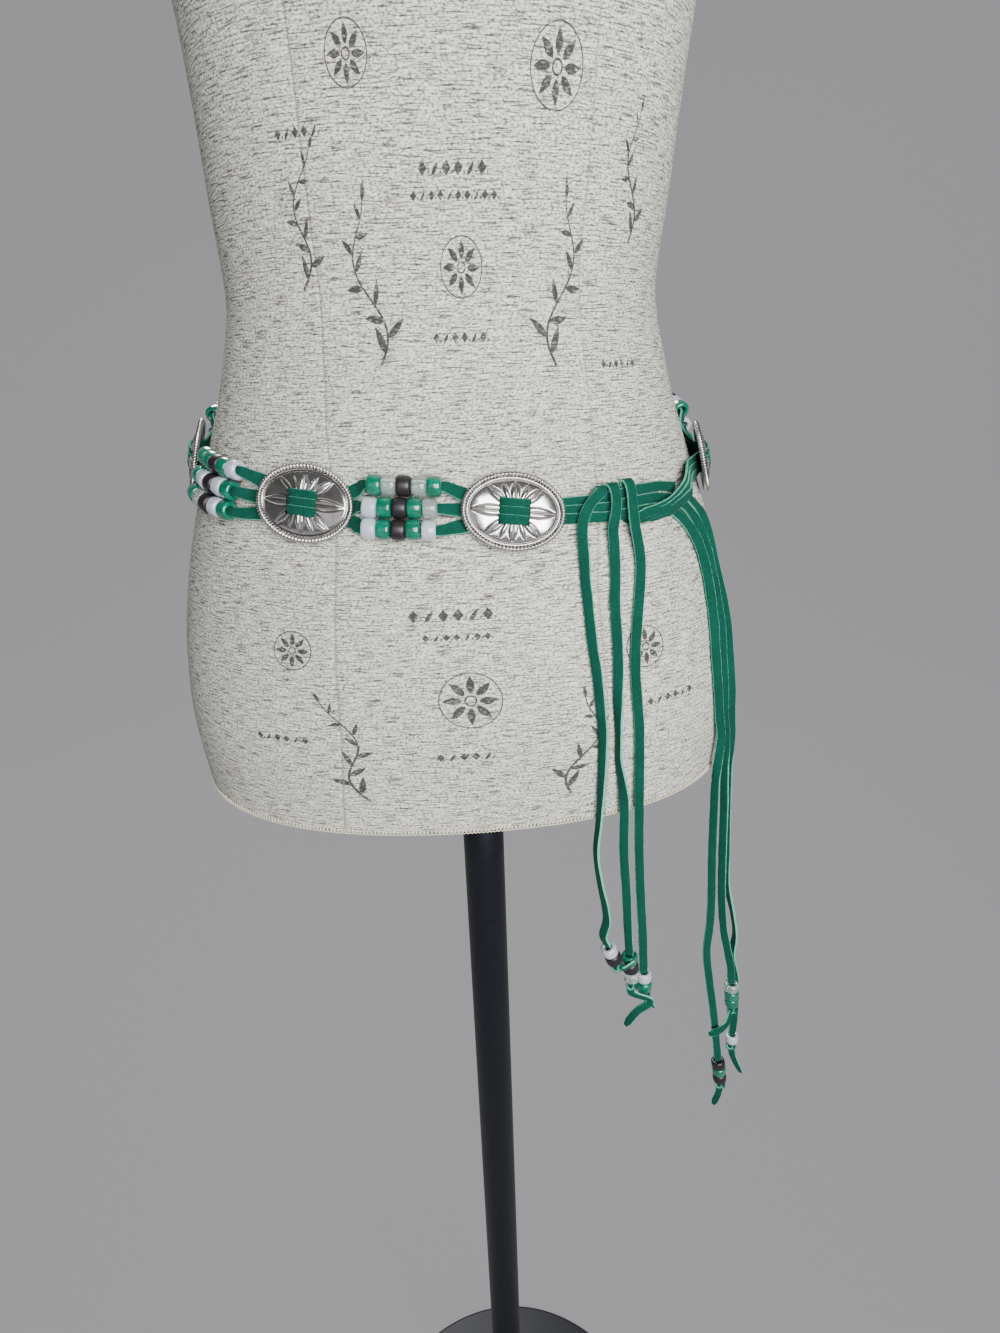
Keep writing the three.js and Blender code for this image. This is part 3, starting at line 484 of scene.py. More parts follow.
def mottled_material(name, scale, detail, stops, relief=None, grain=0.5, **values):
    """A colour that wanders between stops with a noise, over a fine relief of the same noise."""
    look = Look(name)
    noise = look.noise(look.object_place(), scale, detail, grain)
    if relief:
        look.bump(noise, *relief)
    return look.finished(look.ramp(noise, *stops), **values)


def bead_material(name, colour, mottle, ior=1.5, **values):
    stops = [(0.35, tuple(c * (1 - mottle) for c in colour)), (0.65, colour)]
    values = {"Coat_Roughness": 0.08, "IOR": ior, **values}
    return mottled_material(f"bead_{name}", (330, 330, 330), 2, stops, (0.05, 0.15), **values)


JERSEY = jersey_material()
SUEDE = suede_material()
SILVER = silver_material()
ENAMEL = mottled_material(
    "enamel",
    scale=(350, 350, 350),
    detail=2,
    stops=[(0.3, (0.003, 0.004, 0.007)), (0.7, (0.005, 0.007, 0.012))],
    relief=(0.04, 0.3),
    Roughness=0.45,
    Specular_IOR_Level=0.3,
)
WOOD = mottled_material(
    "stained_wood",
    scale=(40, 420, 40),
    detail=6,
    stops=[(0.35, (0.018, 0.011, 0.008)), (0.6, (0.06, 0.036, 0.024))],
    relief=(0.1, 0.3),
    grain=0.6,
    Roughness=0.4,
    Coat_Weight=0.3,
)
THREAD = mottled_material(
    "hem_thread",
    scale=(1500, 1500, 1500),
    detail=2,
    stops=[(0.3, (0.52, 0.49, 0.36)), (0.7, (0.72, 0.69, 0.55))],
    relief=(0.1, 0.5),
    Roughness=0.8,
)
INK = mottled_material(
    "cover_ink",
    scale=(500, 500, 1200),
    detail=3,
    stops=[(0.44, (0.045, 0.045, 0.043)), (0.58, (0.10, 0.098, 0.09)), (0.7, (0.40, 0.39, 0.35))],
    relief=(0.1, 0.4),
    grain=0.7,
    Roughness=0.95,
    Specular_IOR_Level=0.1,
)
BEAD_MATERIALS = {
    "G": bead_material(
        "green",
        (0.001, 0.19, 0.112),
        0.4,
        Roughness=0.2,
        Transmission_Weight=0.1,
        Coat_Weight=0.9,
        Subsurface_Weight=0.1,
        Subsurface_Scale=0.002,
        Subsurface_Radius=(0.4, 1.0, 0.7),
    ),
    "K": bead_material("black", (0.016, 0.012, 0.015), 0.3, Roughness=0.42, Coat_Weight=0.1),
    "W": bead_material("pearl", (0.47, 0.53, 0.60), 0.12, Roughness=0.18, Coat_Weight=1.0),
    "C": bead_material(
        "clear",
        (0.84, 0.95, 0.92),
        0.03,
        Roughness=0.12,
        Transmission_Weight=0.82,
        Coat_Weight=1.0,
        ior=1.3,
    ),
}
BEAD_KINDS = list(BEAD_MATERIALS)


# ---------- Beads ----------
BEAD = {"radius": 4.5, "length": 6.5, "bore": 2.1, "round_off": 1.5, "play": 0.03, "belly": 0.08}
# The funnel at each end of the hole: distance in from the end, distance out from the bore.
BEAD_LIP = [(0.15, 0.45), (0.6, 0.0)]
BEAD_SIDES = 28
# How unevenly the beads are threaded: tilt as a share of the axis, shift in millimetres.
BEAD_JITTER = {"tilt": 0.035, "shift": 0.1}


def bead_outline():
    """One bead's closed outline as (distance along the hole, radius)."""
    half = BEAD["length"] / 2 - BEAD["play"]
    radius, bore, round_off = BEAD["radius"], BEAD["bore"], BEAD["round_off"]
    corner = np.radians([0, 18, 36, 54, 72, 90])
    right = [
        (half - round_off * (1 - math.sin(a)), radius - round_off * (1 - math.cos(a)))
        for a in corner
    ]
    right += [(half - inward, bore + outward) for inward, outward in BEAD_LIP]
    left = [(-x, r) for x, r in reversed(right)]
    return np.array([*left, (0.0, radius + BEAD["belly"]), *right])


BEAD_OUTLINE = bead_outline()


def bead_points(centre, axis, side, upward):
    ring = ring_of(turns(BEAD_SIDES), side, upward)
    along, radius = BEAD_OUTLINE.T[:, :, None, None]
    return (centre + along * axis + radius * ring[None]).reshape(-1, 3)


def bead_string(name, kinds, centres, axes, uprights, node):
    """Beads end to end in one piece, each in its own colour."""
    points, faces, colours = [], [], []
    size = len(BEAD_OUTLINE) * BEAD_SIDES
    for i, kind in enumerate(kinds):
        axis = unit(axes[i] + rng.normal(0, BEAD_JITTER["tilt"], 3))
        side = unit(np.cross(uprights[i], axis))
        upward = np.cross(axis, side)
        centre = centres[i] + rng.normal(0, BEAD_JITTER["shift"], 3)
        points.append(bead_points(centre, axis, side, upward))
        faces.append(grid_faces(len(BEAD_OUTLINE), BEAD_SIDES, True, True, start=i * size))
        colours += [BEAD_KINDS.index(kind)] * len(faces[-1])
    materials = list(BEAD_MATERIALS.values())
    piece = mesh_piece(name, np.vstack(points), np.vstack(faces), materials)
    piece.data.polygons.foreach_set("material_index", colours)
    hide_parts(node)
    return piece


# ---------- Laces ----------
LACE = {"width": 4.8, "thickness": 1.5}
BELT_LACE = {"thickness": 1.2, "pitch": 3.5}
# How a cut lace wavers: its width as a share, radians to a sample, raggedness of the edges.
LACE_WAVER = {"width": 0.02, "turn": 0.37, "ragged": 0.035}
# Half of a lace's section, which the other half repeats turned half round: across and through
# as shares of half the width and half the thickness, and how much of the pale cut edge shows.
HALF_SECTION = [
    (-0.90, -1.0, 0.0), (-0.45, -1.04, 0.0), (0.0, -1.06, 0.0), (0.45, -1.04, 0.0),
    (0.90, -1.0, 0.0), (0.99, -0.78, 1.0), (1.0, 0.0, 1.0), (0.99, 0.78, 1.0),
]
LACE_SECTION = np.array([(way * x, way * y, pale) for way in (1, -1) for x, y, pale in HALF_SECTION])


def lace_piece(name, line, sides, width, thickness, edge=1.0):
    """A flat lace along a line. sides are unit vectors across its width, and edge says how
    pale the cut edges are."""
    count, sections = len(line), len(LACE_SECTION)
    across, through, pale = LACE_SECTION.T
    wavering = 1 + LACE_WAVER["width"] * np.sin(np.arange(count) * LACE_WAVER["turn"])
    width = np.broadcast_to(width, (count,)) * wavering
    thickness = np.broadcast_to(thickness, (count,))
    forward = unit(np.gradient(line, axis=0))
    side = unit(sides - forward * np.sum(sides * forward, -1, keepdims=True))
    out = np.cross(side, forward)
    ragged = 1 + LACE_WAVER["ragged"] * rng.standard_normal((count, sections)) * pale
    x = across * width[:, None] / 2 * ragged
    y = through * thickness[:, None] / 2
    rings = line[:, None] + x[..., None] * side[:, None] + y[..., None] * out[:, None]
    last = (count - 1) * sections
    caps = [list(range(sections))[::-1], list(range(last, last + sections))]
    faces = [*grid_faces(count, sections, close_columns=True), *caps]
    piece = mesh_piece(name, rings.reshape(-1, 3), faces, SUEDE)
    point_attribute(piece, "edge", np.broadcast_to(edge, (count,))[:, None] * pale)
    return piece


# Where a line runs nearly along the normal, its width keeps the direction that it had: the sine
# of the angle between them below which it does so altogether, and over how much more it fades.
STEEP = {"from": 0.35, "over": 0.4}


def sides_along(line, normals, first_side, turned):
    """Width directions across the path in the surface, never turning over suddenly."""
    forward = unit(np.gradient(line, axis=0))
    previous = np.asarray(first_side, float)
    sides = np.empty_like(line)
    for i in range(len(line)):
        side = np.cross(normals[i], forward[i])
        size = np.linalg.norm(side)
        side = side / max(size, 1e-6)
        if side @ previous < 0:
            side = -side
        weight = np.clip((size - STEEP["from"]) / STEEP["over"], 0, 1)
        side = weight * side + (1 - weight) * previous
        side = unit(side - forward[i] * (side @ forward[i]))
        previous = side
        sides[i] = side
    angle = np.radians(turned)[:, None]
    return sides * np.cos(angle) + np.cross(forward, sides) * np.sin(angle)


def surface_rows(rows):
    """Points and normals from rows of angle, height above the hem and distance proud."""
    rows = np.asarray(rows, float)
    level = np.maximum(rows[:, 1], HANG_HEIGHT)
    normal = form_normal(rows[:, 0], level)
    normal[rows[:, 1] < HANG_HEIGHT, 2] = 0
    return form_point(rows[:, 0], rows[:, 1], rows[:, 2], level), unit(normal)


# ---------- Tails ----------
# on_form rows: angle, height above the hem, distance off the form, turn of the face in degrees.
# free rows hang clear of the form: x, y, height above the hem, turn of the face.
TAILS = {
    "tail_left_1": {
        "on_form": [
            (297.9, 162.4, 6.2, 0), (296.2, 160, 6.8, 5), (294.7, 156.5, 6.2, 10),
            (293.6, 151.5, 5, 15), (293.2, 146, 3.8, 22), (293.1, 140.5, 3.2, 28),
            (293, 132.5, 2.8, 33), (292.8, 123.5, 2.6, 35), (292.8, 114.5, 2.6, 36),
            (292.8, 94, 2.6, 36), (293.1, 80, 2.6, 38), (293.2, 67, 2.6, 42),
            (293.2, 51.5, 2.8, 50), (293.1, 35, 3, 62), (292.9, 15, 3.2, 74),
            (292.6, -1, 3.4, 82), (292.2, -17.5, 3.6, 85), (293.2, -38, 3.4, 75),
            (294.4, -54, 3.2, 65), (294.8, -65, 3.4, 60), (294, -74, 4, 60),
            (294.9, -81, 4.4, 60),
        ],
        "beads": "WK",
    },
    "tail_left_2": {
        "on_form": [
            (300.4, 163.2, 6.2, 0), (300.3, 160, 6.8, 4), (299.9, 155, 6.8, 8),
            (299.3, 150, 6.2, 12), (299, 145, 4.8, 20), (299.2, 140, 3.6, 26),
            (299, 131, 2.8, 30), (298.6, 122, 2.6, 31), (298, 113, 2.6, 31),
            (297.5, 92, 2.6, 32), (297, 78, 2.8, 36), (296.5, 65.5, 3, 52),
            (296.2, 55, 3.2, 75), (296.1, 45, 3.2, 85), (296.2, 34, 3.2, 80), (297, 22, 3, 62),
            (297.7, 8, 3, 38), (298, -21, 3, 25), (299, -50, 3, 30), (299.7, -77, 3.4, 45),
            (300.1, -92, 4, 50),
        ],
        "beads": "GKC",
    },
    "tail_left_3": {
        "on_form": [
            (304, 164.3, 6.2, 0), (303.8, 160, 6.8, 3), (303.4, 154, 6.8, 6),
            (303.3, 148, 6.4, 10), (303.8, 142, 4.8, 16), (304.4, 136, 3.4, 22),
            (304.4, 128, 2.8, 26), (303.8, 120, 2.6, 27), (302.9, 111, 2.6, 27),
            (301.9, 100, 2.6, 28), (301.1, 90.5, 2.6, 28), (300.5, 77, 2.6, 29),
            (300.4, 63.5, 2.6, 29), (300.4, 50, 2.6, 29), (300.5, 36.5, 2.6, 29),
            (301, 7, 2.6, 29), (301.5, -24.5, 2.8, 28), (302.5, -59.5, 3, 27),
            (303.2, -81, 3.4, 26), (303.8, -110, 4, 25),
        ],
        "beads": "WG",
    },
    "tail_right_1": {
        "on_form": [
            (320.3, 157, 2.6, 0), (323, 152.6, 2.8, 0), (325.8, 147.6, 2.8, 8),
            (328.2, 143, 2.8, 26), (329.4, 136.5, 2.9, 42), (329.9, 126, 2.9, 55),
            (330.4, 113.5, 2.9, 60), (332.6, 97, 2.9, 65), (333.4, 81.5, 2.9, 65),
            (332.4, 67, 3.2, 65), (330.8, 46.5, 4, 60), (331.6, 32, 4.4, 60),
            (334.8, 14, 5, 50),
        ],
        "free": [
            (145.8, -44, -6, 45), (147.4, -45.5, -42, 40), (149, -46.5, -67, 40),
            (151, -47.5, -92, 60), (157, -48.5, -117, 80), (159.4, -49.5, -132, 80),
            (158.6, -50.2, -148, 60), (161.8, -51.5, -165, 40), (163.6, -52.4, -185, 20),
            (164, -53.2, -204, 10), (163.8, -53.6, -216, 0),
        ],
        "beads": "W",
    },
    "tail_right_2": {
        "on_form": [
            (318, 153, 2.0, 0), (320.6, 149.6, 2.2, 4), (322.8, 145, 2.4, 16),
            (324.6, 139.5, 2.8, 34), (326.2, 129, 2.9, 50), (327.2, 115.5, 2.9, 57),
            (327.8, 100, 2.9, 57), (327.8, 85.5, 2.9, 58), (327.2, 71, 2.9, 58),
            (326.6, 49.5, 2.9, 57), (327.2, 35.5, 3.2, 55), (330.2, 17, 3.6, 50),
        ],
        "free": [
            (140.2, -52, -4, 45), (141.5, -54, -30, 40), (143, -55, -62, 35),
            (145, -56, -94, 30), (148.4, -56.6, -120, 30), (152.4, -57, -138, 20),
            (155.6, -57.2, -152, 10), (157, -57.4, -165, 0),
        ],
        "beads": "CGG",
    },
    "tail_right_3": {
        "on_form": [
            (315.8, 149.4, 1.4, 0), (317.4, 146.8, 1.6, 4), (319.2, 143.2, 2.0, 14),
            (321, 138.2, 2.6, 30), (322.9, 130, 2.9, 44), (324.2, 117, 2.9, 52),
            (324.4, 102, 2.9, 54), (324, 88, 2.9, 53), (323.4, 74, 2.9, 52),
            (323.2, 52.5, 2.9, 50), (324, 38.5, 3, 48), (326, 22, 3.4, 44),
        ],
        "free": [
            (130.8, -64.2, -4, 40), (131.2, -65, -24, 30), (132.6, -65.2, -56, 20),
            (134.6, -65.4, -86, 10), (135.2, -65.8, -106, 5), (134.8, -66, -128, 0),
            (138, -66.2, -150, 0), (143, -66.4, -178, 0), (147, -66.6, -204, 0),
            (149.8, -66.8, -223, 0),
        ],
        "beads": "KGK",
    },
}
# The short end beyond each knot, as steps from the knot: across, towards the viewer, up.
TAG_ENDS = {
    "tail_left_1": [(3, 1, -1), (9, 2, 5)],
    "tail_left_2": [(-1, 2, -3), (10, 4, -9), (2, 6, -14), (-4, 5, -25)],
    "tail_left_3": [(3, 1, -5), (6, 2, -9)],
    "tail_right_1": [(2, 1, -9), (9, 2, -25)],
    "tail_right_2": [(-6, 8, -3), (-13, 13, -3), (-20, 14, -5)],
    "tail_right_3": [(-1, 1, -8), (-4, 2, -17)],
}
GAP = 0.3  # between pieces that meet
TAIL_STEP = 1.0
# A tail's end goes down to this share of its width, by a whole width in so many millimetres.
TAIL_END = {"narrowed": 0.82, "over": 12.0}
# The lace inside the tail beads, with its samples to a bead.
THREADED = {"width": 3.5, "thickness": 1.3, "into_lace": 0.5, "into_knot": 1.0, "to_a_bead": 6}
# The knot: a drawn trefoil of lace that is pulled in to less than its width.
KNOT_ALONG = 3.6
KNOT_SIZE = {"across": 0.85, "along": 0.78, "out": 0.95, "crossing": 1.3}
KNOT_LACE = {"half_width": 2.1, "half_thickness": 0.95, "squareness": 0.6, "pale_from": 0.8}
KNOT_SAMPLES = 90
KNOT_SIDES = 14
# The short end: shares of the lace's width in it and at its tip, and the length of its taper.
TAG = {"step": 0.8, "width": 0.9, "thickness": 1.35, "turned": 45, "point": 0.45, "taper": 3.5}
# How a left tail comes over the belt's top edge: height from its first row, distance proud.
TURN_OVER = [(-1.6, 3.2), (0.1, 3.4), (1.0, 4.3), (0.9, 5.5)]


def tail_route(tail, over_edge=False):
    rows = [row[:3] for row in tail["on_form"]]
    turned = [row[3] for row in tail["on_form"]]
    free = tail.get("free", [])
    if over_edge:
        rows = [(rows[0][0], rows[0][1] + up, proud) for up, proud in TURN_OVER] + rows
        turned = [0] * len(TURN_OVER) + turned
    points, normals = surface_rows(rows)
    if free:
        hanging = np.array([(x, y, HEM_HEIGHT + height) for x, y, height, _ in free])
        points = np.vstack([points, hanging])
        normals = np.vstack([normals, np.tile(FRONT, (len(free), 1))])
        turned += [row[3] for row in free]
    return points, normals, np.array(turned, float)


def knot_line(centre, forward):
    """A drawn trefoil round a centre."""
    turn = turns(KNOT_SAMPLES)
    side = unit(np.cross(forward, FRONT))
    toward = unit(np.cross(side, forward))
    across = (np.sin(turn) + 2 * np.sin(2 * turn)) * KNOT_SIZE["across"]
    along = (np.cos(turn) - 2 * np.cos(2 * turn)) * KNOT_SIZE["along"]
    out = -np.sin(3 * turn) * KNOT_SIZE["crossing"] * KNOT_SIZE["out"]
    return centre + across[:, None] * side + along[:, None] * forward + out[:, None] * toward


def squared(wave):
    """A sine or cosine with its corners filled out."""
    return np.sign(wave) * np.abs(wave) ** KNOT_LACE["squareness"]


def make_knot(name, centre, forward, tag_steps):
    """An overhand knot in the lace, drawn up tight, with the short end that leaves it."""
    line = knot_line(centre, forward)
    ahead = unit(np.roll(line, -1, axis=0) - np.roll(line, 1, axis=0))
    across = unit(np.cross(ahead, unit(line - centre)))
    out = np.cross(across, ahead)
    around = turns(KNOT_SIDES)
    wide = KNOT_LACE["half_width"] * squared(np.cos(around))
    thick = KNOT_LACE["half_thickness"] * squared(np.sin(around))
    rings = line[:, None] + wide[None, :, None] * across[:, None] + thick[None, :, None] * out[:, None]
    faces = grid_faces(len(line), KNOT_SIDES, close_columns=True, close_rows=True)
    knot = mesh_piece(f"{name}_drawn", rings.reshape(-1, 3), faces, SUEDE)
    edge = np.clip((np.abs(np.cos(around)) - KNOT_LACE["pale_from"]) * 4, 0, 1)
    point_attribute(knot, "edge", np.tile(edge, len(line)))
    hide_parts(name)
    steps = np.array([(0, 0, 0), *tag_steps], float)
    tag_points = centre + steps[:, :1] * ACROSS + steps[:, 1:2] * FRONT + steps[:, 2:] * UP
    tag_line, index = smooth_line(tag_points, TAG["step"])
    turned = follow(index, np.linspace(0, TAG["turned"], len(steps)))
    sides = sides_along(tag_line, np.tile(FRONT, (len(tag_line), 1)), ACROSS, turned)
    left = np.arange(len(tag_line))[::-1] * TAG["step"]
    taper = TAG["point"] + (1 - TAG["point"]) * np.clip(left / TAG["taper"], 0, 1) ** 0.6
    width = LACE["width"] * TAG["width"] * taper
    tag = lace_piece(f"{name}_end", tag_line, sides, width, TAG["thickness"])
    return knot, tag


def make_tail(name, tail):
    points, normals, turned = tail_route(tail, over_edge="left" in name)
    line, index = smooth_line(points, TAIL_STEP)
    sides = sides_along(line, unit(follow(index, normals)), ACROSS, follow(index, turned))
    left = line_length(line) - np.arange(len(line)) * TAIL_STEP
    narrowing = np.clip(TAIL_END["narrowed"] + left / TAIL_END["over"], TAIL_END["narrowed"], 1)
    lace = lace_piece(f"{name}_suede", line, sides, LACE["width"] * narrowing, LACE["thickness"])
    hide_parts(name)
    end = points[-1]
    forward = unit(points[-1] - points[-2])
    kinds = tail["beads"]
    count = len(kinds)
    centres = end + (GAP + (np.arange(count) + 0.5) * BEAD["length"])[:, None] * forward
    axes = np.tile(forward, (count, 1))
    uprights = np.tile(unit(np.cross(forward, FRONT)), (count, 1))
    beads = bead_string(f"{name}_bead_colours", kinds, centres, axes, uprights, f"{name}_beads")
    reach = 2 * GAP + count * BEAD["length"]
    inside = np.linspace(
        -THREADED["into_lace"], reach + THREADED["into_knot"], count * THREADED["to_a_bead"]
    )
    threaded = end + inside[:, None] * forward
    core_sides = np.tile(sides[-1], (len(threaded), 1))
    core = lace_piece(
        f"{name}_threaded", threaded, core_sides, THREADED["width"], THREADED["thickness"]
    )
    knot_centre = end + (reach + KNOT_ALONG) * forward
    knot, tag = make_knot(f"{name}_knot", knot_centre, forward, TAG_ENDS[name])


for _name, _tail in TAILS.items():
    make_tail(_name, _tail)


# ---------- Laces in the belt and the tie ----------
# The tie. Each lace leaves the first concho rightwards, and comes back from the last concho
# leftwards over it, turns under and up behind, and drops over the top edge. Rows give the
# angle, the height above the hem and how far it stands proud.
LEAVING = {
    "top": [
        (319.5, 158.5, 1.3), (314, 160.2, 1.3), (309.5, 160.6, 2.3), (305, 160.4, 3),
        (299, 158.6, 3), (295.5, 157.9, 1.8),
    ],
    "middle": [
        (317.2, 153.6, 1.3), (313, 155.4, 1.3), (309.5, 155.9, 2.3), (305, 155.8, 3),
        (299, 154.5, 3), (295.5, 154.3, 1.8),
    ],
    "bottom": [
        (315, 149.4, 1.3), (312.2, 150.8, 1.3), (309.5, 151.3, 2.3), (305, 151.3, 3),
        (299, 150.6, 3), (295.5, 150.7, 1.8),
    ],
}
RETURNING = {
    "top": [
        (324.6, 165.2, 4.6), (321.5, 161.2, 5.6), (317.5, 157, 5.8), (313.6, 153.8, 6),
        (309.8, 151.8, 6), (306.4, 150.6, 5.6), (304.6, 148.4, 3.6), (303.9, 148.4, 1.2),
        (301.6, 154, 1.1), (299.2, 160.4, 1.2), (298.3, 162.6, 3.4),
    ],
    "middle": [
        (324.8, 161.6, 4.2), (322, 158.6, 5.4), (318.2, 155.4, 5.8), (314.6, 152.7, 5.8),
        (311.6, 150.8, 5.6), (308.8, 150, 5.3), (307.2, 148.2, 3.4), (306.5, 148, 1.2),
        (304.2, 154.4, 1.1), (301.7, 161.2, 1.2), (300.6, 163.4, 3.4),
    ],
    "bottom": [
        (325.4, 158, 3.8), (323, 155.6, 5), (319.4, 153.6, 5.4), (316, 151.4, 5.2),
        (313.4, 149.6, 5), (311.4, 149, 4.6), (310, 148, 3), (309.3, 147.8, 1.1),
        (307.4, 154.4, 1.1), (305.2, 162, 1.2), (304.2, 164.5, 3.4),
    ],
}
# How a lace passes half a concho: distance from the concho's middle and off the form.
PASS_CONCHO = [(9.3, 1.25), (7.5, 2.0), (6.7, 4.2), (6.0, 6.2), (4.7, 7.25), (2.4, 7.6), (0.0, 7.65)]
CONCHO_EDGE = {"offset": 23.0, "proud": 1.6, "parted": 0.6}
# How it passes its beads: distance from their middle, and the width there.
PASS_BEADS = [(17.4, 4.6), (15.4, 3.7), (8, 3.6), (0, 3.6), (-8, 3.6), (-15.4, 3.7), (-17.4, 4.6)]
# Width, turn of the face and paleness of the edges: in the tie, through a concho's slots,
# fanned out between a concho and its beads, and where the laces come back over the tie.
IN_TIE = (4.7, 18.0, 0.75)
IN_SLOTS = (4.2, 14.0, 0.4)
FANNED = (6.3, -12.0, 0.8)
COMING_BACK = (4.8, 21.0, 0.8)
FLAT_ROWS = 3  # the last rows of RETURNING, which lie flat where a tail carries on
BELT_STEP = 0.8


def close_aside(row):
    return (1 - row) * BELT_LACE["pitch"]


def spread_aside(row):
    return (1 - row) * ROW_PITCH


def belt_points(along, aside, proud):
    origin, _, upward, normal = belt_frames(np.asarray(along, float))
    return origin + aside * upward + proud * normal, normal


def concho_edge(number, row, side):
    towards_tie = number == (1 if side > 0 else CONCHO_COUNT)
    parted = 0.0 if towards_tie else CONCHO_EDGE["parted"]
    along = CONCHO_ALONG[number - 1] + side * CONCHO_EDGE["offset"]
    aside = close_aside(row) + parted * (spread_aside(row) - close_aside(row))
    return belt_points([along], aside, CONCHO_EDGE["proud"])


def pass_slots(number, row):
    origin, across, above, outward = concho_frame(number)
    back = [(-offset, proud) for offset, proud in reversed(PASS_CONCHO[:-1])]
    rows = np.array(PASS_CONCHO + back)
    points = origin + rows[:, :1] * across + close_aside(row) * above + rows[:, 1:] * outward
    return points, np.tile(outward, (len(rows), 1))


def make_belt_lace(row_name):
    row = ROW_NAMES.index(row_name)
    parts = []

    def add(stations, look, widths=None):
        points, normals = stations
        looks = np.tile(look, (len(points), 1))
        if widths is not None:
            looks[:, 0] = widths
        parts.append((points, normals, looks))

    add(surface_rows(LEAVING[row_name]), IN_TIE)
    for number in range(1, CONCHO_COUNT + 1):
        add(concho_edge(number, row, 1), IN_TIE if number == 1 else FANNED)
        add(pass_slots(number, row), IN_SLOTS)
        add(concho_edge(number, row, -1), IN_TIE if number == CONCHO_COUNT else FANNED)
        if number < CONCHO_COUNT:
            steps, widths = np.array(PASS_BEADS).T
            along = row_middle(number - 1, row) + steps
            add(belt_points(along, spread_aside(row), BEAD_PROUD), FANNED, widths)
    add(surface_rows(RETURNING[row_name]), COMING_BACK)
    parts[-1][2][-FLAT_ROWS:, 1] = 0
    points, normals, looks = (np.concatenate([part[k] for part in parts]) for k in range(3))
    line, index = smooth_line(points, BELT_STEP)
    width, tilt, edge = follow(index, looks).T
    sides = sides_along(line, unit(follow(index, normals)), UP, -tilt)
    piece = lace_piece(f"lace_{row_name}", line, sides, width, BELT_LACE["thickness"], edge)
    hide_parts(f"belt_lace_{row_name}")


for _row_name in ROW_NAMES:
    make_belt_lace(_row_name)


# ---------- Bead rows ----------
# Each group's rows, from the viewer's left to right as the belt passes the front.
GROUP_BEADS = [
    ("GCKCG", "WGKGC", "WGKGW"),
    ("GGKGW", "GWKWG", "GCKWG"),
    ("GWKCG", "WGKGW", "GCKCG"),
    ("WGKGW", "GCKCG", "GWKWG"),
    ("GCKCG", "GWKWG", "WGKGW"),
    ("GWKGW", "WGKGC", "GCKGG"),
]


def make_belt_beads():
    for space, rows in enumerate(GROUP_BEADS):
        for row, (row_name, kinds) in enumerate(zip(ROW_NAMES, rows)):
            steps = (np.arange(len(kinds)) - (len(kinds) - 1) / 2) * BEAD["length"]
            origin, tangent, upward, normal = belt_frames(row_middle(space, row) + steps)
            centres = origin + upward * spread_aside(row) + normal * BEAD_PROUD
            node = f"beads_{space + 1}_{row_name}"
            bead_string(f"{node}_colours", kinds, centres, tangent, upward, node)


make_belt_beads()


# ---------- Conchos ----------
CONCHO = {"half_width": 23.2, "half_height": 17.2, "back": 2.6}
CONCHO_COLUMNS = 320
FACE_RINGS = 62
# The border inside the rope: distance in from the edge, height over the back plane, shade.
BORDER = [
    (1.2, 0.9, 1.0), (2.35, 1.1, 1.0), (2.5, 1.5, 0.6), (2.62, 1.78, 0.0), (2.82, 1.9, 0.0),
    (3.05, 1.8, 0.0), (3.2, 1.55, 0.2), (3.32, 1.2, 0.9), (3.45, 1.1, 1.0), (3.6, 1.4, 0.2),
]
FACE = {"middle": 0.015, "edge": 1.5, "rise": 2.05, "power": 0.8, "fade": 28, "engraved": 0.3}
UNDERSIDE = [(0.9, 0.1), (8.0, 0.7)]  # distance in from the edge, height over the back plane
UNDERSIDE_SHADE = 0.6
HUB = {"share": 0.02, "height": 1.4}
ROPE = {"radius": 1.36, "inset": 1.2, "height": 1.5, "twists": 84, "slant": 1.5, "valley": 0.42}
ROPE_COLUMNS = 8  # to a twist
ROPE_SIDES = 10
SLOT = {"inner": 4.9, "outer": 6.9, "half_height": 5.7}
SNAP = {"within": 0.17, "margin": 0.2}
# Raised leaves of the starburst, in one quadrant: start, tip, half width, height, lobes.
LEAVES = [
    ((5.4, 0.0), (19.5, 0.0), 2.5, 1.35, 2),
    ((5.2, 4.5), (13.2, 10.8), 1.8, 1.3, 2),
    ((2.9, 5.3), (5.9, 12.0), 1.0, 1.0, 1),
    ((0.0, 5.2), (0.0, 13.0), 2.0, 1.25, 2),
]
LEAF_SWELL = {"root": 0.25, "least": 0.02, "power": 0.9}
LEAF_LINE = {"outline": 0.24, "rib": 0.2, "rib_shade": 0.8, "rib_to": 0.96, "end": 0.5}


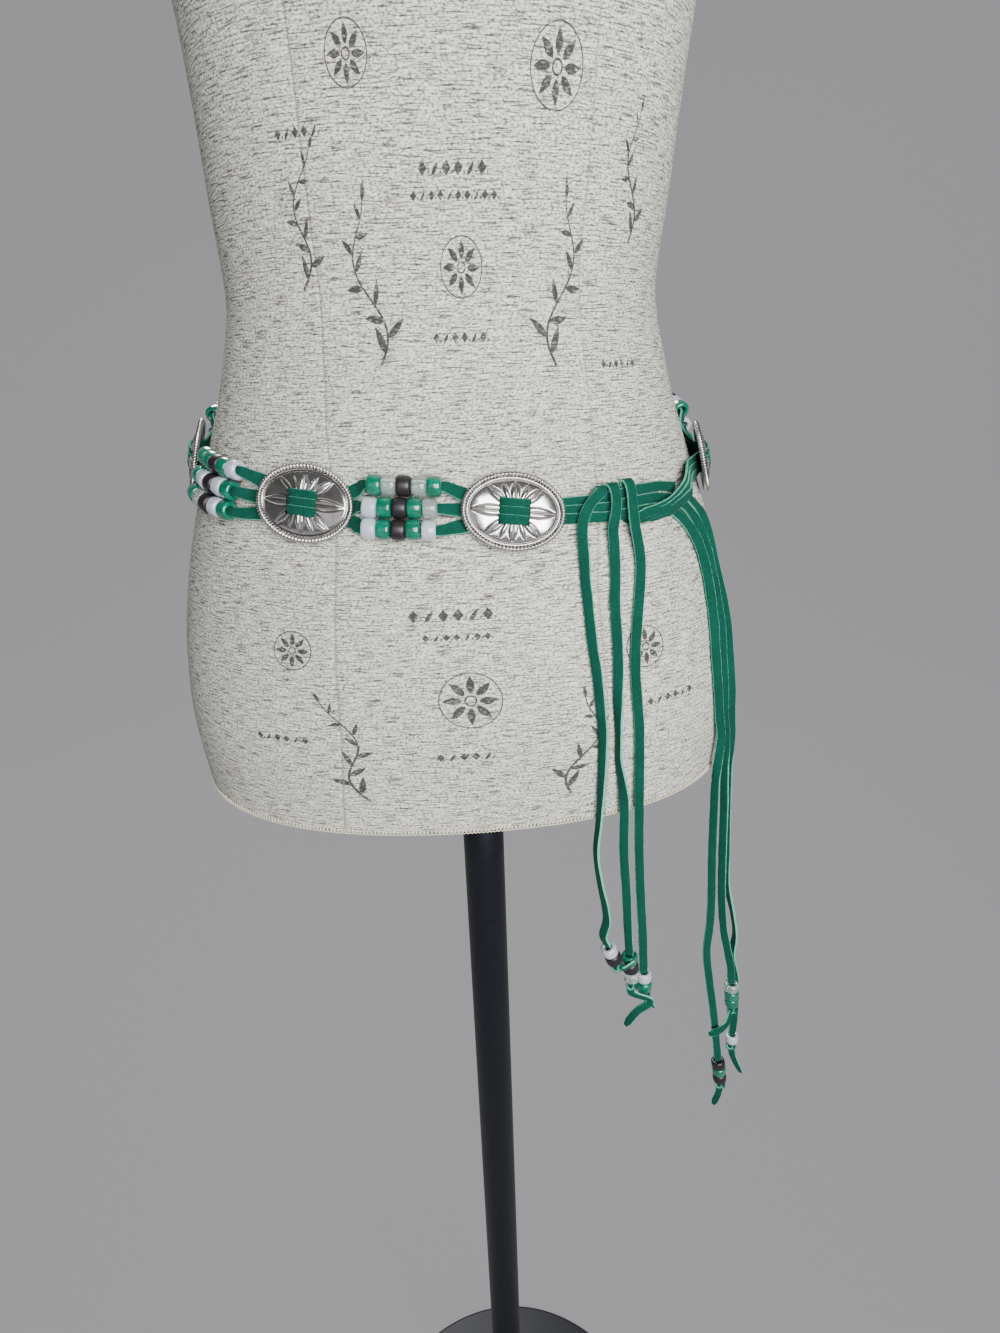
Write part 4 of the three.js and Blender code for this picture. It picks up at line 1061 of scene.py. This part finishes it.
def starburst(x, y):
    """Height of the leaves over the face, and the dark lines round them."""
    relief = np.zeros_like(x)
    lines = np.zeros_like(x)
    rows = {
        (sx * a[0], sy * a[1], sx * b[0], sy * b[1], half, height, lobes)
        for a, b, half, height, lobes in LEAVES
        for sx in (-1, 1)
        for sy in (-1, 1)
    }
    for x0, y0, x1, y1, half, height, lobes in sorted(rows):
        run = math.hypot(x1 - x0, y1 - y0)
        ux, uy = (x1 - x0) / run, (y1 - y0) / run
        along = ((x - x0) * ux + (y - y0) * uy) / run
        aside = np.abs((x - x0) * uy - (y - y0) * ux)
        inside = np.clip(along, 0, 1)
        root = LEAF_SWELL["root"]
        wave = np.sin(np.pi * (root + (1 - root) * inside))
        swell = np.maximum(wave, LEAF_SWELL["least"]) ** LEAF_SWELL["power"]
        width = half * swell
        share = np.clip(aside / width, 0, 1)
        across = 1 - (2 * share - 1) ** 2 if lobes == 2 else 1 - share**2
        near = np.exp(-((np.abs(along - inside) * run / LEAF_LINE["end"]) ** 2))
        relief = np.maximum(relief, height * np.clip(across, 0, 1) ** 0.6 * near * swell**0.5)
        line = np.exp(-(((aside - width) / LEAF_LINE["outline"]) ** 2))
        if lobes == 2:
            rib = np.exp(-((aside / LEAF_LINE["rib"]) ** 2)) * (inside < LEAF_LINE["rib_to"])
            line = line + LEAF_LINE["rib_shade"] * rib
        lines = np.maximum(lines, line * near * np.clip(swell * 2, 0, 1))
    return relief, lines


def rim(inset):
    """Points of the oval edge, moved in by a distance."""
    turn = turns(CONCHO_COLUMNS)
    a, b = CONCHO["half_width"], CONCHO["half_height"]
    outward = unit(np.stack([np.cos(turn) / a, np.sin(turn) / b], -1))
    return np.stack([a * np.cos(turn), b * np.sin(turn)], -1) - inset * outward


def snapped(values, marks, beside):
    """Moves values near a mark onto it, so that a slot's edge is straight."""
    for mark in marks:
        near = beside & (np.abs(np.abs(values) - mark) < SNAP["within"])
        values = np.where(near, np.sign(values) * mark, values)
    return values


def concho_mesh_data():
    """Points (x, y, height over the back), faces and shade of one concho."""
    shares = np.linspace(FACE["middle"], 1, FACE_RINGS)
    x, y = np.moveaxis(shares[:, None, None] * rim(BORDER[-1][0])[None], -1, 0)
    inner, outer, slot_y = SLOT.values()
    margin = SNAP["margin"]
    x = snapped(x, (inner, outer), np.abs(y) < slot_y + margin)
    y = snapped(y, (slot_y,), (np.abs(x) > inner - margin) & (np.abs(x) < outer + margin))
    dome = FACE["edge"] + FACE["rise"] * np.clip(1 - shares**2, 0, 1)[:, None] ** FACE["power"]
    relief, lines = starburst(x, y)
    fade = np.clip((1 - shares[:, None]) * FACE["fade"], 0, 1)
    rows = [np.stack([x, y, dome + (relief - FACE["engraved"] * lines) * fade], -1)]
    shades = [np.clip(lines * fade + 0.3 * (1 - fade), 0, 1)]
    rings = [(rim(inset), height, shade) for inset, height, shade in reversed(BORDER[:-1])]
    rings += [(rim(inset), height, UNDERSIDE_SHADE) for inset, height in UNDERSIDE]
    rings += [(rim(0) * HUB["share"], HUB["height"], UNDERSIDE_SHADE)]
    for ring, height, shade in rings:
        rows.append(np.column_stack([ring, np.full(len(ring), height)])[None])
        shades.append(np.full((1, len(ring)), shade))
    grid = np.concatenate(rows)
    points = grid.reshape(-1, 3)
    faces = grid_faces(len(grid), CONCHO_COLUMNS, close_columns=True)
    middle = np.abs(points[faces].mean(axis=1))
    in_slot = (middle[:, 0] > inner) & (middle[:, 0] < outer) & (middle[:, 1] < slot_y)
    rope_points, rope_shade = concho_rope()
    rope_faces = grid_faces(*rope_shade.shape, close_columns=True, close_rows=True, start=len(points))
    shade = np.concatenate([np.concatenate(shades).ravel(), rope_shade.ravel()])
    return np.vstack([points, rope_points]), np.vstack([faces[~in_slot], rope_faces]), shade


def concho_rope():
    """The twisted rope border: a ring round the oval with slanting grooves."""
    turn = turns(ROPE["twists"] * ROPE_COLUMNS)
    a = CONCHO["half_width"] - ROPE["inset"]
    b = CONCHO["half_height"] - ROPE["inset"]
    outward = unit(np.stack([np.cos(turn) / a, np.sin(turn) / b, 0 * turn], -1))
    line = np.stack([a * np.cos(turn), b * np.sin(turn), 0 * turn + ROPE["height"]], -1)
    around = turns(ROPE_SIDES)
    strand = ROPE["twists"] * turn[:, None] + ROPE["slant"] * np.sin(around)
    wave = np.abs(np.cos(strand / 2)) ** 0.7
    radius = ROPE["radius"] * (ROPE["valley"] + (1 - ROPE["valley"]) * wave)
    rings = line[:, None] + radius[..., None] * ring_of(around, outward, UP)
    return rings.reshape(-1, 3), np.clip(0.95 - 1.5 * wave, 0, 1)


def make_conchos():
    points, faces, shade = concho_mesh_data()
    for number in range(1, CONCHO_COUNT + 1):
        origin, across, above, outward = concho_frame(number)
        lifted = points[:, 2:] + CONCHO["back"]
        placed = origin + points[:, :1] * across + points[:, 1:2] * above + lifted * outward
        piece = mesh_piece(f"concho_{number}_face", placed, faces, SILVER)
        point_attribute(piece, "recess", shade)
        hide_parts(f"concho_{number}")


make_conchos()


# ---------- Dress form ----------
# Seam lines down the form: degrees round it at heights above the hem.
SEAMS = {
    "side_right": [(0, 0), (720, 0)],
    "back_right": [(0, 52), (250, 58), (470, 50), (620, 38), (720, 40)],
    "centre_back": [(0, 90), (720, 90)],
    "back_left": [(0, 128), (250, 122), (470, 130), (620, 142), (720, 140)],
    "side_left": [(0, 180), (720, 180)],
    "front_left": [
        (0, 246), (60, 248), (142, 248), (198, 244), (268, 241), (430, 240), (600, 222), (720, 215),
    ],
    "front_right": [
        (0, 295), (110, 295.5), (166, 299), (200, 301), (287, 302), (430, 300), (600, 318), (720, 325),
    ],
}
SEAM_PROFILE = [(-0.62, 0.0), (-0.24, -0.16), (0.0, -0.62), (0.24, -0.16), (0.62, 0.0)]
SEAM_SHADE = 0.75
HEM_ROLL = [(0.0, -3.0), (0.0, -1.0), (0.25, -0.3), (1.2, 0.0)]  # height, distance proud
COVER_START = 2.5
COVER_ROWS = 250
PANEL_COLUMNS = 34


def cover_angles(heights):
    """Columns round the form at each height, some of them running exactly down the seams."""
    lines = [smooth_through(*zip(*rows))(heights) for rows in SEAMS.values()]
    lines.append(lines[0] + 360)
    columns, depths, is_seam = [], [], []
    reach = SEAM_PROFILE[-1][0]
    for here, following in zip(lines, lines[1:]):
        for offset, depth in SEAM_PROFILE:
            columns.append(here + offset)
            depths.append(depth)
            is_seam.append(1.0 if offset == 0 else 0.0)
        for share in np.linspace(0, 1, PANEL_COLUMNS + 2)[1:-1]:
            columns.append(here + reach + share * (following - here - 2 * reach))
            depths.append(0.0)
            is_seam.append(0.0)
    return np.stack(columns, 1), np.array(depths), np.array(is_seam)


def flattened_at_arms(points):
    """The form's flat armhole plates."""
    high = points[..., 2] > HEM_HEIGHT + ARM_PLATE_FROM
    clipped = np.clip(points[..., 0], -ARM_PLATE_HALF, ARM_PLATE_HALF)
    points[..., 0] = np.where(high, clipped, points[..., 0])
    return points


def make_form_cover():
    roll_heights, roll_proud = np.array(HEM_ROLL).T
    heights = np.concatenate([roll_heights, np.linspace(COVER_START, FORM_TOP, COVER_ROWS)])
    proud = np.concatenate([roll_proud, np.zeros(COVER_ROWS)])
    angles, depths, is_seam = cover_angles(heights)
    points = form_point(angles, heights[:, None], proud[:, None] + depths[None, :])
    points = flattened_at_arms(points)
    rows, columns = angles.shape
    flat = points.reshape(-1, 3)
    faces = grid_faces(rows, columns, close_columns=True)
    bottom = np.array([FORM_SECTIONS[0][2], FORM_CENTRE_Y, HEM_HEIGHT])
    top = np.array([FORM_SECTIONS[-1][2], FORM_CENTRE_Y, HEM_HEIGHT + FORM_TOP])
    low, high = len(flat), len(flat) + 1
    ring = np.arange(columns)
    following = (ring + 1) % columns
    last = (rows - 1) * columns
    caps = [(low, following[j], ring[j]) for j in ring]
    caps += [(high, last + ring[j], last + following[j]) for j in ring]
    points_and_caps = np.vstack([flat, bottom, top])
    piece = mesh_piece("form_cover", points_and_caps, [*faces, *caps], JERSEY)
    seam = np.concatenate([np.tile(is_seam, rows), [0, 0]])
    point_attribute(piece, "seam", seam * SEAM_SHADE)
    add_cloth_uv(piece, points, heights, columns)
    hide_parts("form_body")


def add_cloth_uv(piece, points, heights, columns):
    """A UV map in metres: distance round the form and height up it."""
    step = np.linalg.norm(np.diff(points, axis=1, append=points[:, :1]), axis=2)
    reach = np.concatenate([np.zeros((len(points), 1)), np.cumsum(step, axis=1)], axis=1)
    reach = reach - reach[:, -1:] / 2
    layer = piece.data.uv_layers.new(name="cloth")
    corner_points = np.empty(len(piece.data.loops), np.int64)
    piece.data.loops.foreach_get("vertex_index", corner_points)
    row = np.minimum(corner_points // columns, len(points) - 1)
    column = corner_points % columns
    starts = np.empty(len(piece.data.polygons), np.int64)
    totals = np.empty(len(piece.data.polygons), np.int64)
    piece.data.polygons.foreach_get("loop_start", starts)
    piece.data.polygons.foreach_get("loop_total", totals)
    owner = np.repeat(np.arange(len(starts)), totals)
    furthest = np.zeros(len(starts), np.int64)
    np.maximum.at(furthest, owner, column)
    wraps = (furthest[owner] == columns - 1) & (column == 0)
    across = reach[row, np.where(wraps, columns, column)]
    layer.data.foreach_set("uv", np.stack([across, heights[row]], 1).ravel() * MM)


# ---------- The cover's print ----------
PRINT_PROUD = 0.2
PRINT_DEGREE = 2.45  # millimetres round the form to a degree
# Sprigs: angle and height of the stem's foot, length, lean in degrees, side of the first leaf.
SPRIGS = [
    (256, 216, 60, -12, 1), (294, 214, 62, 12, -1), (238, 246, 48, 8, 1), (316, 262, 46, -8, 1),
    (252, 20, 52, -14, -1), (288, 18, 50, 14, -1), (62, 220, 66, 12, 1), (104, 222, 62, -12, -1),
]
# Rosettes: angle, height, radius.
ROSETTES = [
    (274, 252, 10), (293, 318, 12), (252, 322, 9), (271, 72, 12), (240, 96, 8), (304, 88, 9),
    (84, 262, 12), (120, 300, 9),
]
# Rows of small diamonds and leaves: height, from and to in degrees round, spacing, half height.
PRINT_ROWS = [
    (286, 266, 282, 6.0, 2.6), (277, 264, 284, 4.6, 1.7), (226, 268, 281, 5.0, 2.0),
    (112, 262, 280, 6.4, 2.8), (102, 264, 278, 4.4, 1.6), (44, 265, 277, 5.0, 2.0),
    (352, 262, 280, 7.0, 3.2), (300, 236, 248, 5.0, 2.0), (214, 306, 318, 4.6, 1.8),
    (60, 304, 318, 5.0, 2.0), (52, 232, 244, 4.6, 1.8), (250, 76, 96, 6.4, 2.8),
    (100, 70, 100, 6.0, 2.4), (88, 76, 96, 4.4, 1.6),
]


# The motifs' proportions, as shares of a sprig's length, a leaf's length or a rosette's radius,
# but for widths in millimetres.
STEM = {"steps": 40, "sway": 0.10, "waves": 2.4, "width": 1.3, "narrowed": 0.8}
SPRIG_LEAF = {"first": 3, "every": 4, "length": 0.21, "shorter": 0.12, "splay": 0.9, "width": 0.3}
SPRIG_TIP = {"length": 0.12, "width": 0.035}
LEAF_BEND = 0.12
ROSETTE = {"petals": 8, "from": 0.3, "petal": 0.7, "width": 0.3, "eye": 0.2, "eye_line": 0.06}
ROSETTE_RING = {"radius": 1.12, "width": 0.5}


class Print:
    """Flat strokes on the cover, kept as strips of narrow faces."""

    def __init__(self):
        self.points = []
        self.faces = []

    def stroke(self, foot, line, widths):
        """A stroke along a line of (across, up) about a foot of angle and height."""
        line = np.asarray(line, float)
        ahead = unit(np.gradient(line, axis=0))
        aside = np.stack([-ahead[:, 1], ahead[:, 0]], 1) * np.asarray(widths)[:, None] / 2
        both = np.stack([line + aside, line - aside], 1).reshape(-1, 2)
        angles = foot[0] + both[:, 0] / PRINT_DEGREE
        start = len(self.points)
        self.points.extend(form_point(angles, foot[1] + both[:, 1], PRINT_PROUD))
        for i in range(len(line) - 1):
            first = start + 2 * i
            self.faces.append((first, first + 1, first + 3, first + 2))

    def leaf(self, foot, start, turn, length, width):
        along = np.linspace(0, 1, 9)
        way = np.array([math.sin(turn), math.cos(turn)])
        bend = np.array([way[1], -way[0]]) * LEAF_BEND * length
        line = start + along[:, None] * length * way + (along * (1 - along))[:, None] * bend
        self.stroke(foot, line, width * np.maximum(np.sin(np.pi * along**0.8), 0.04))

    def sprig(self, angle, height, length, lean, side):
        """A swaying stem with leaves to either side by turns, and one at its tip."""
        foot = (angle, height)
        steps = STEM["steps"]
        along = np.linspace(0, 1, steps)
        wave = side * STEM["sway"] * np.sin(STEM["waves"] * np.pi * along)
        sway = length * (math.tan(math.radians(lean)) * along + wave)
        stem = np.stack([sway, length * along], 1)
        self.stroke(foot, stem, STEM["width"] - STEM["narrowed"] * along)
        every = SPRIG_LEAF["every"]
        for i in range(SPRIG_LEAF["first"], steps - 2, every):
            slope = math.atan2(*(stem[i + 1] - stem[i - 1]))
            size = length * (SPRIG_LEAF["length"] - SPRIG_LEAF["shorter"] * i / steps)
            turned = side * (1 if (i // every) % 2 else -1) * SPRIG_LEAF["splay"]
            self.leaf(foot, stem[i], slope + turned, size, size * SPRIG_LEAF["width"])
        slope = math.atan2(*(stem[-1] - stem[-3]))
        self.leaf(foot, stem[-1], slope, length * SPRIG_TIP["length"], length * SPRIG_TIP["width"])

    def rosette(self, angle, height, radius):
        """Petals round an eye, in a thin ring."""
        foot = (angle, height)
        for turn in turns(ROSETTE["petals"]):
            start = np.array([math.sin(turn), math.cos(turn)]) * radius * ROSETTE["from"]
            self.leaf(foot, start, turn, radius * ROSETTE["petal"], radius * ROSETTE["width"])
        turn = np.linspace(0, 2 * np.pi, 25)
        ring = np.stack([np.sin(turn), np.cos(turn)], 1)
        eye_line = np.full(len(turn), radius * ROSETTE["eye_line"])
        self.stroke(foot, ring * radius * ROSETTE["eye"], eye_line)
        edge = np.full(len(turn), ROSETTE_RING["width"])
        self.stroke(foot, ring * radius * ROSETTE_RING["radius"], edge)

    def row(self, height, first, last, pitch, half):
        """Small upright diamonds and leaning leaves by turns, with a dot between them."""
        foot = (first, height)
        across = np.linspace(-1, 1, 7)
        for i in range(int((last - first) * PRINT_DEGREE / pitch)):
            middle = i * pitch
            if i % 3 == 1:
                self.leaf(foot, np.array([middle - half * 0.6, -half]), 0.6, half * 2.3, half * 0.7)
            else:
                line = np.stack([middle + across * 0.36 * pitch, np.zeros(7)], 1)
                self.stroke(foot, line, 2 * half * (1 - np.abs(across)) + 0.1)
            dot = np.stack([middle + pitch / 2 + across * 0.4, np.full(7, -half * 0.5)], 1)
            self.stroke(foot, dot, 0.8 * np.sqrt(1.02 - across**2))


def make_print():
    ink = Print()
    for sprig in SPRIGS:
        ink.sprig(*sprig)
    for rosette in ROSETTES:
        ink.rosette(*rosette)
    for row in PRINT_ROWS:
        ink.row(*row)
    mesh_piece("cover_print", np.array(ink.points), ink.faces, INK)


HEM_STITCH = {"pitch": 1.9, "low": -0.2, "height": 2.7, "radius": 0.33, "proud": 0.4, "lean": 0.33}
HEM_UNEVEN = 0.12
HEM_STEPS = 8  # to a loop of the thread
HEM_SIDES = 5


def make_hem_stitch():
    """Overlocking round the hem: a thread that loops up and down over the edge."""
    angles = np.linspace(0, 360, 4 * 360 + 1)
    reach = reach_along(form_point(angles, 0.0))
    loops = int(reach[-1] / HEM_STITCH["pitch"])
    phase = np.arange(loops * HEM_STEPS) / HEM_STEPS
    lean = HEM_STITCH["lean"] * np.sin(2 * np.pi * phase)
    uneven = 1 + HEM_UNEVEN * np.sin(phase * 1.7) * np.sin(phase * 0.61)
    at = np.interp((phase + lean) * reach[-1] / loops, reach, angles)
    rise = 0.5 - 0.5 * np.cos(2 * np.pi * phase)
    height = HEM_STITCH["low"] + HEM_STITCH["height"] * rise * uneven
    line = form_point(at, height, HEM_STITCH["proud"], np.maximum(height, 0))
    outward = form_normal(at, np.maximum(height, 1))
    forward = unit(np.roll(line, -1, axis=0) - np.roll(line, 1, axis=0))
    side = np.cross(outward, forward)
    rings = line[:, None] + HEM_STITCH["radius"] * ring_of(turns(HEM_SIDES), outward, side)
    faces = grid_faces(len(line), HEM_SIDES, close_columns=True, close_rows=True)
    mesh_piece("hem_overlock", rings.reshape(-1, 3), faces, THREAD)


# ---------- Stand and neck cap ----------
FOOT = {"radius": 185.0, "thickness": 12.0, "round_off": 3.0}
POLE_RADIUS = 13.5
POLE_RINGS = 12
COLLAR = {"bore": 13.8, "flange": 30.0, "height": 42.0}
# The collar's flange and the tube above it: radius, height over its underside.
COLLAR_SHOULDER = [(29, 6.4), (21, 9.5), (18.4, 14), (17.8, 20)]
CAP = {"lip": 9.0, "set_in": 5.0, "dome": 16.0}
NEAR_AXIS = 0.02  # the radius at which a turned outline starts and ends


def turned_piece(name, outline, sides, material, centre=(0, 0), squash=1.0):
    """A solid of revolution from (radius, height) pairs."""
    outline = np.array(outline, float)
    turn = turns(sides)
    x = centre[0] + outline[:, :1] * np.cos(turn)
    y = centre[1] + outline[:, :1] * np.sin(turn) * squash
    z = np.repeat(outline[:, 1:], sides, axis=1)
    faces = grid_faces(len(outline), sides, close_columns=True)
    return mesh_piece(name, np.stack([x, y, z], -1).reshape(-1, 3), faces, material)


def make_stand():
    radius, thickness, curve = FOOT.values()
    outline = [(NEAR_AXIS, 0), (radius - 1.5, 0), (radius - 0.4, 0.4), (radius, 1.5), (radius, 8.5)]
    outline += [
        (radius - curve + curve * math.cos(a), thickness - curve + curve * math.sin(a))
        for a in np.radians([20, 45, 70, 90])
    ]
    outline += [(radius * share, thickness) for share in (0.6, 0.3)] + [(NEAR_AXIS, thickness)]
    foot = turned_piece("stand_foot", outline, 160, ENAMEL)
    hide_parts("foot")
    low, high = thickness + GAP, HEM_HEIGHT - GAP
    outline = [(POLE_RADIUS, height) for height in np.linspace(low, high, POLE_RINGS)]
    outline = [(NEAR_AXIS, low), *outline, (NEAR_AXIS, high)]
    pole = turned_piece("stand_pole", outline, 48, ENAMEL)
    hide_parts("pole")
    bore, flange, height = COLLAR.values()
    top = low + height
    outline = [(bore, low), (flange - 0.6, low), (flange, low + 0.8), (flange, low + 5)]
    outline += [(r, low + up) for r, up in COLLAR_SHOULDER]
    outline += [(17.8, top - 1), (17.1, top), (14.4, top), (bore, top - 0.6), (bore, low)]
    collar = turned_piece("stand_collar", outline, 64, ENAMEL)
    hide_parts("pole_collar")


def make_neck_cap():
    _, half, centre, front, _ = FORM_SECTIONS[-1]
    base = HEM_HEIGHT + FORM_TOP + GAP
    dome_base, dome_radius = base + CAP["lip"], half - CAP["set_in"]
    outline = [(NEAR_AXIS, base), (half - 0.8, base), (half, base + 0.8), (half, base + 6)]
    outline += [(half - 0.9, base + 8), (half - 3, dome_base)]
    outline += [
        (dome_radius * math.cos(a), dome_base + CAP["dome"] * math.sin(a))
        for a in np.radians(range(4, 90, 8))
    ]
    outline += [(NEAR_AXIS, dome_base + CAP["dome"])]
    place = (centre, FORM_CENTRE_Y)
    cap = turned_piece("form_neck_cap", outline, 96, WOOD, place, front / half)
    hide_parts("neck_cap")


make_form_cover()
make_hem_stitch()
make_print()
make_stand()
make_neck_cap()


# ---------- Floor, backdrop and light ----------
STAGE = {"width": 12.0, "near": -4.0, "far": 3.0, "height": 6.0, "bend": 1.2}  # metres
SWEEP_GREY = (0.035, 0.0345, 0.036)
SWEEP_GLOW = (0.326, 0.321, 0.335, 1)


def make_stage():
    """A floor that curves up into a backdrop."""
    width, near, far, height, bend = STAGE.values()
    curve = [(near, 0.0), (far - bend, 0.0)]
    curve += [
        (far - bend + bend * math.sin(a), bend - bend * math.cos(a))
        for a in np.radians(range(10, 90, 10))
    ]
    curve += [(far, bend), (far, height)]
    points = [(x, y, z) for y, z in curve for x in (-width / 2, width / 2)]
    faces = [(2 * i, 2 * i + 1, 2 * i + 3, 2 * i + 2) for i in range(len(curve) - 1)]
    mesh = bpy.data.meshes.new("sweep")
    mesh.from_pydata(points, [], faces)
    mesh.polygons.foreach_set("use_smooth", [True] * len(faces))
    mesh.materials.append(mottled_material(
        "sweep_grey",
        scale=(3, 3, 3),
        detail=2,
        stops=[(0.3, tuple(c * 0.985 for c in SWEEP_GREY)), (0.7, SWEEP_GREY)],
        Roughness=0.9,
        Emission_Color=SWEEP_GLOW,
        Emission_Strength=1.0,
    ))
    sweep = bpy.data.objects.new("sweep", mesh)
    bpy.context.scene.collection.objects.link(sweep)


AMBIENT = {"Color": (0.85, 0.87, 0.9, 1), "Strength": 0.045}
LIGHTS = [
    # name, place, aim, size in metres, power in watts
    ("key", (0.27, -1.0, 1.4), (0, 0, 1.2), 0.75, 26.3),
    ("card", (-0.55, -1.1, 1.3), (0, 0, 1.2), 0.6, 0.65),
    ("top", (0.3, -0.4, 3.0), (0, 0, 1.1), 1.2, 2.0),
    ("back", (-0.5, 2.0, 3.0), (0, 0, 1.2), 1.0, 80.0),
]


def make_lights():
    for name, place, aim, size, power in LIGHTS:
        data = bpy.data.lights.new(name, "AREA")
        data.shape = "SQUARE"
        data.size = size
        data.energy = power
        light = bpy.data.objects.new(name, data)
        light.location = place
        light.rotation_euler = (Vector(aim) - Vector(place)).to_track_quat("-Z", "Y").to_euler()
        bpy.context.scene.collection.objects.link(light)
    world = bpy.data.worlds.new("studio")
    world.use_nodes = True
    background = world.node_tree.nodes["Background"]
    for name, value in AMBIENT.items():
        background.inputs[name].default_value = value
    bpy.context.scene.world = world


make_stage()
make_lights()
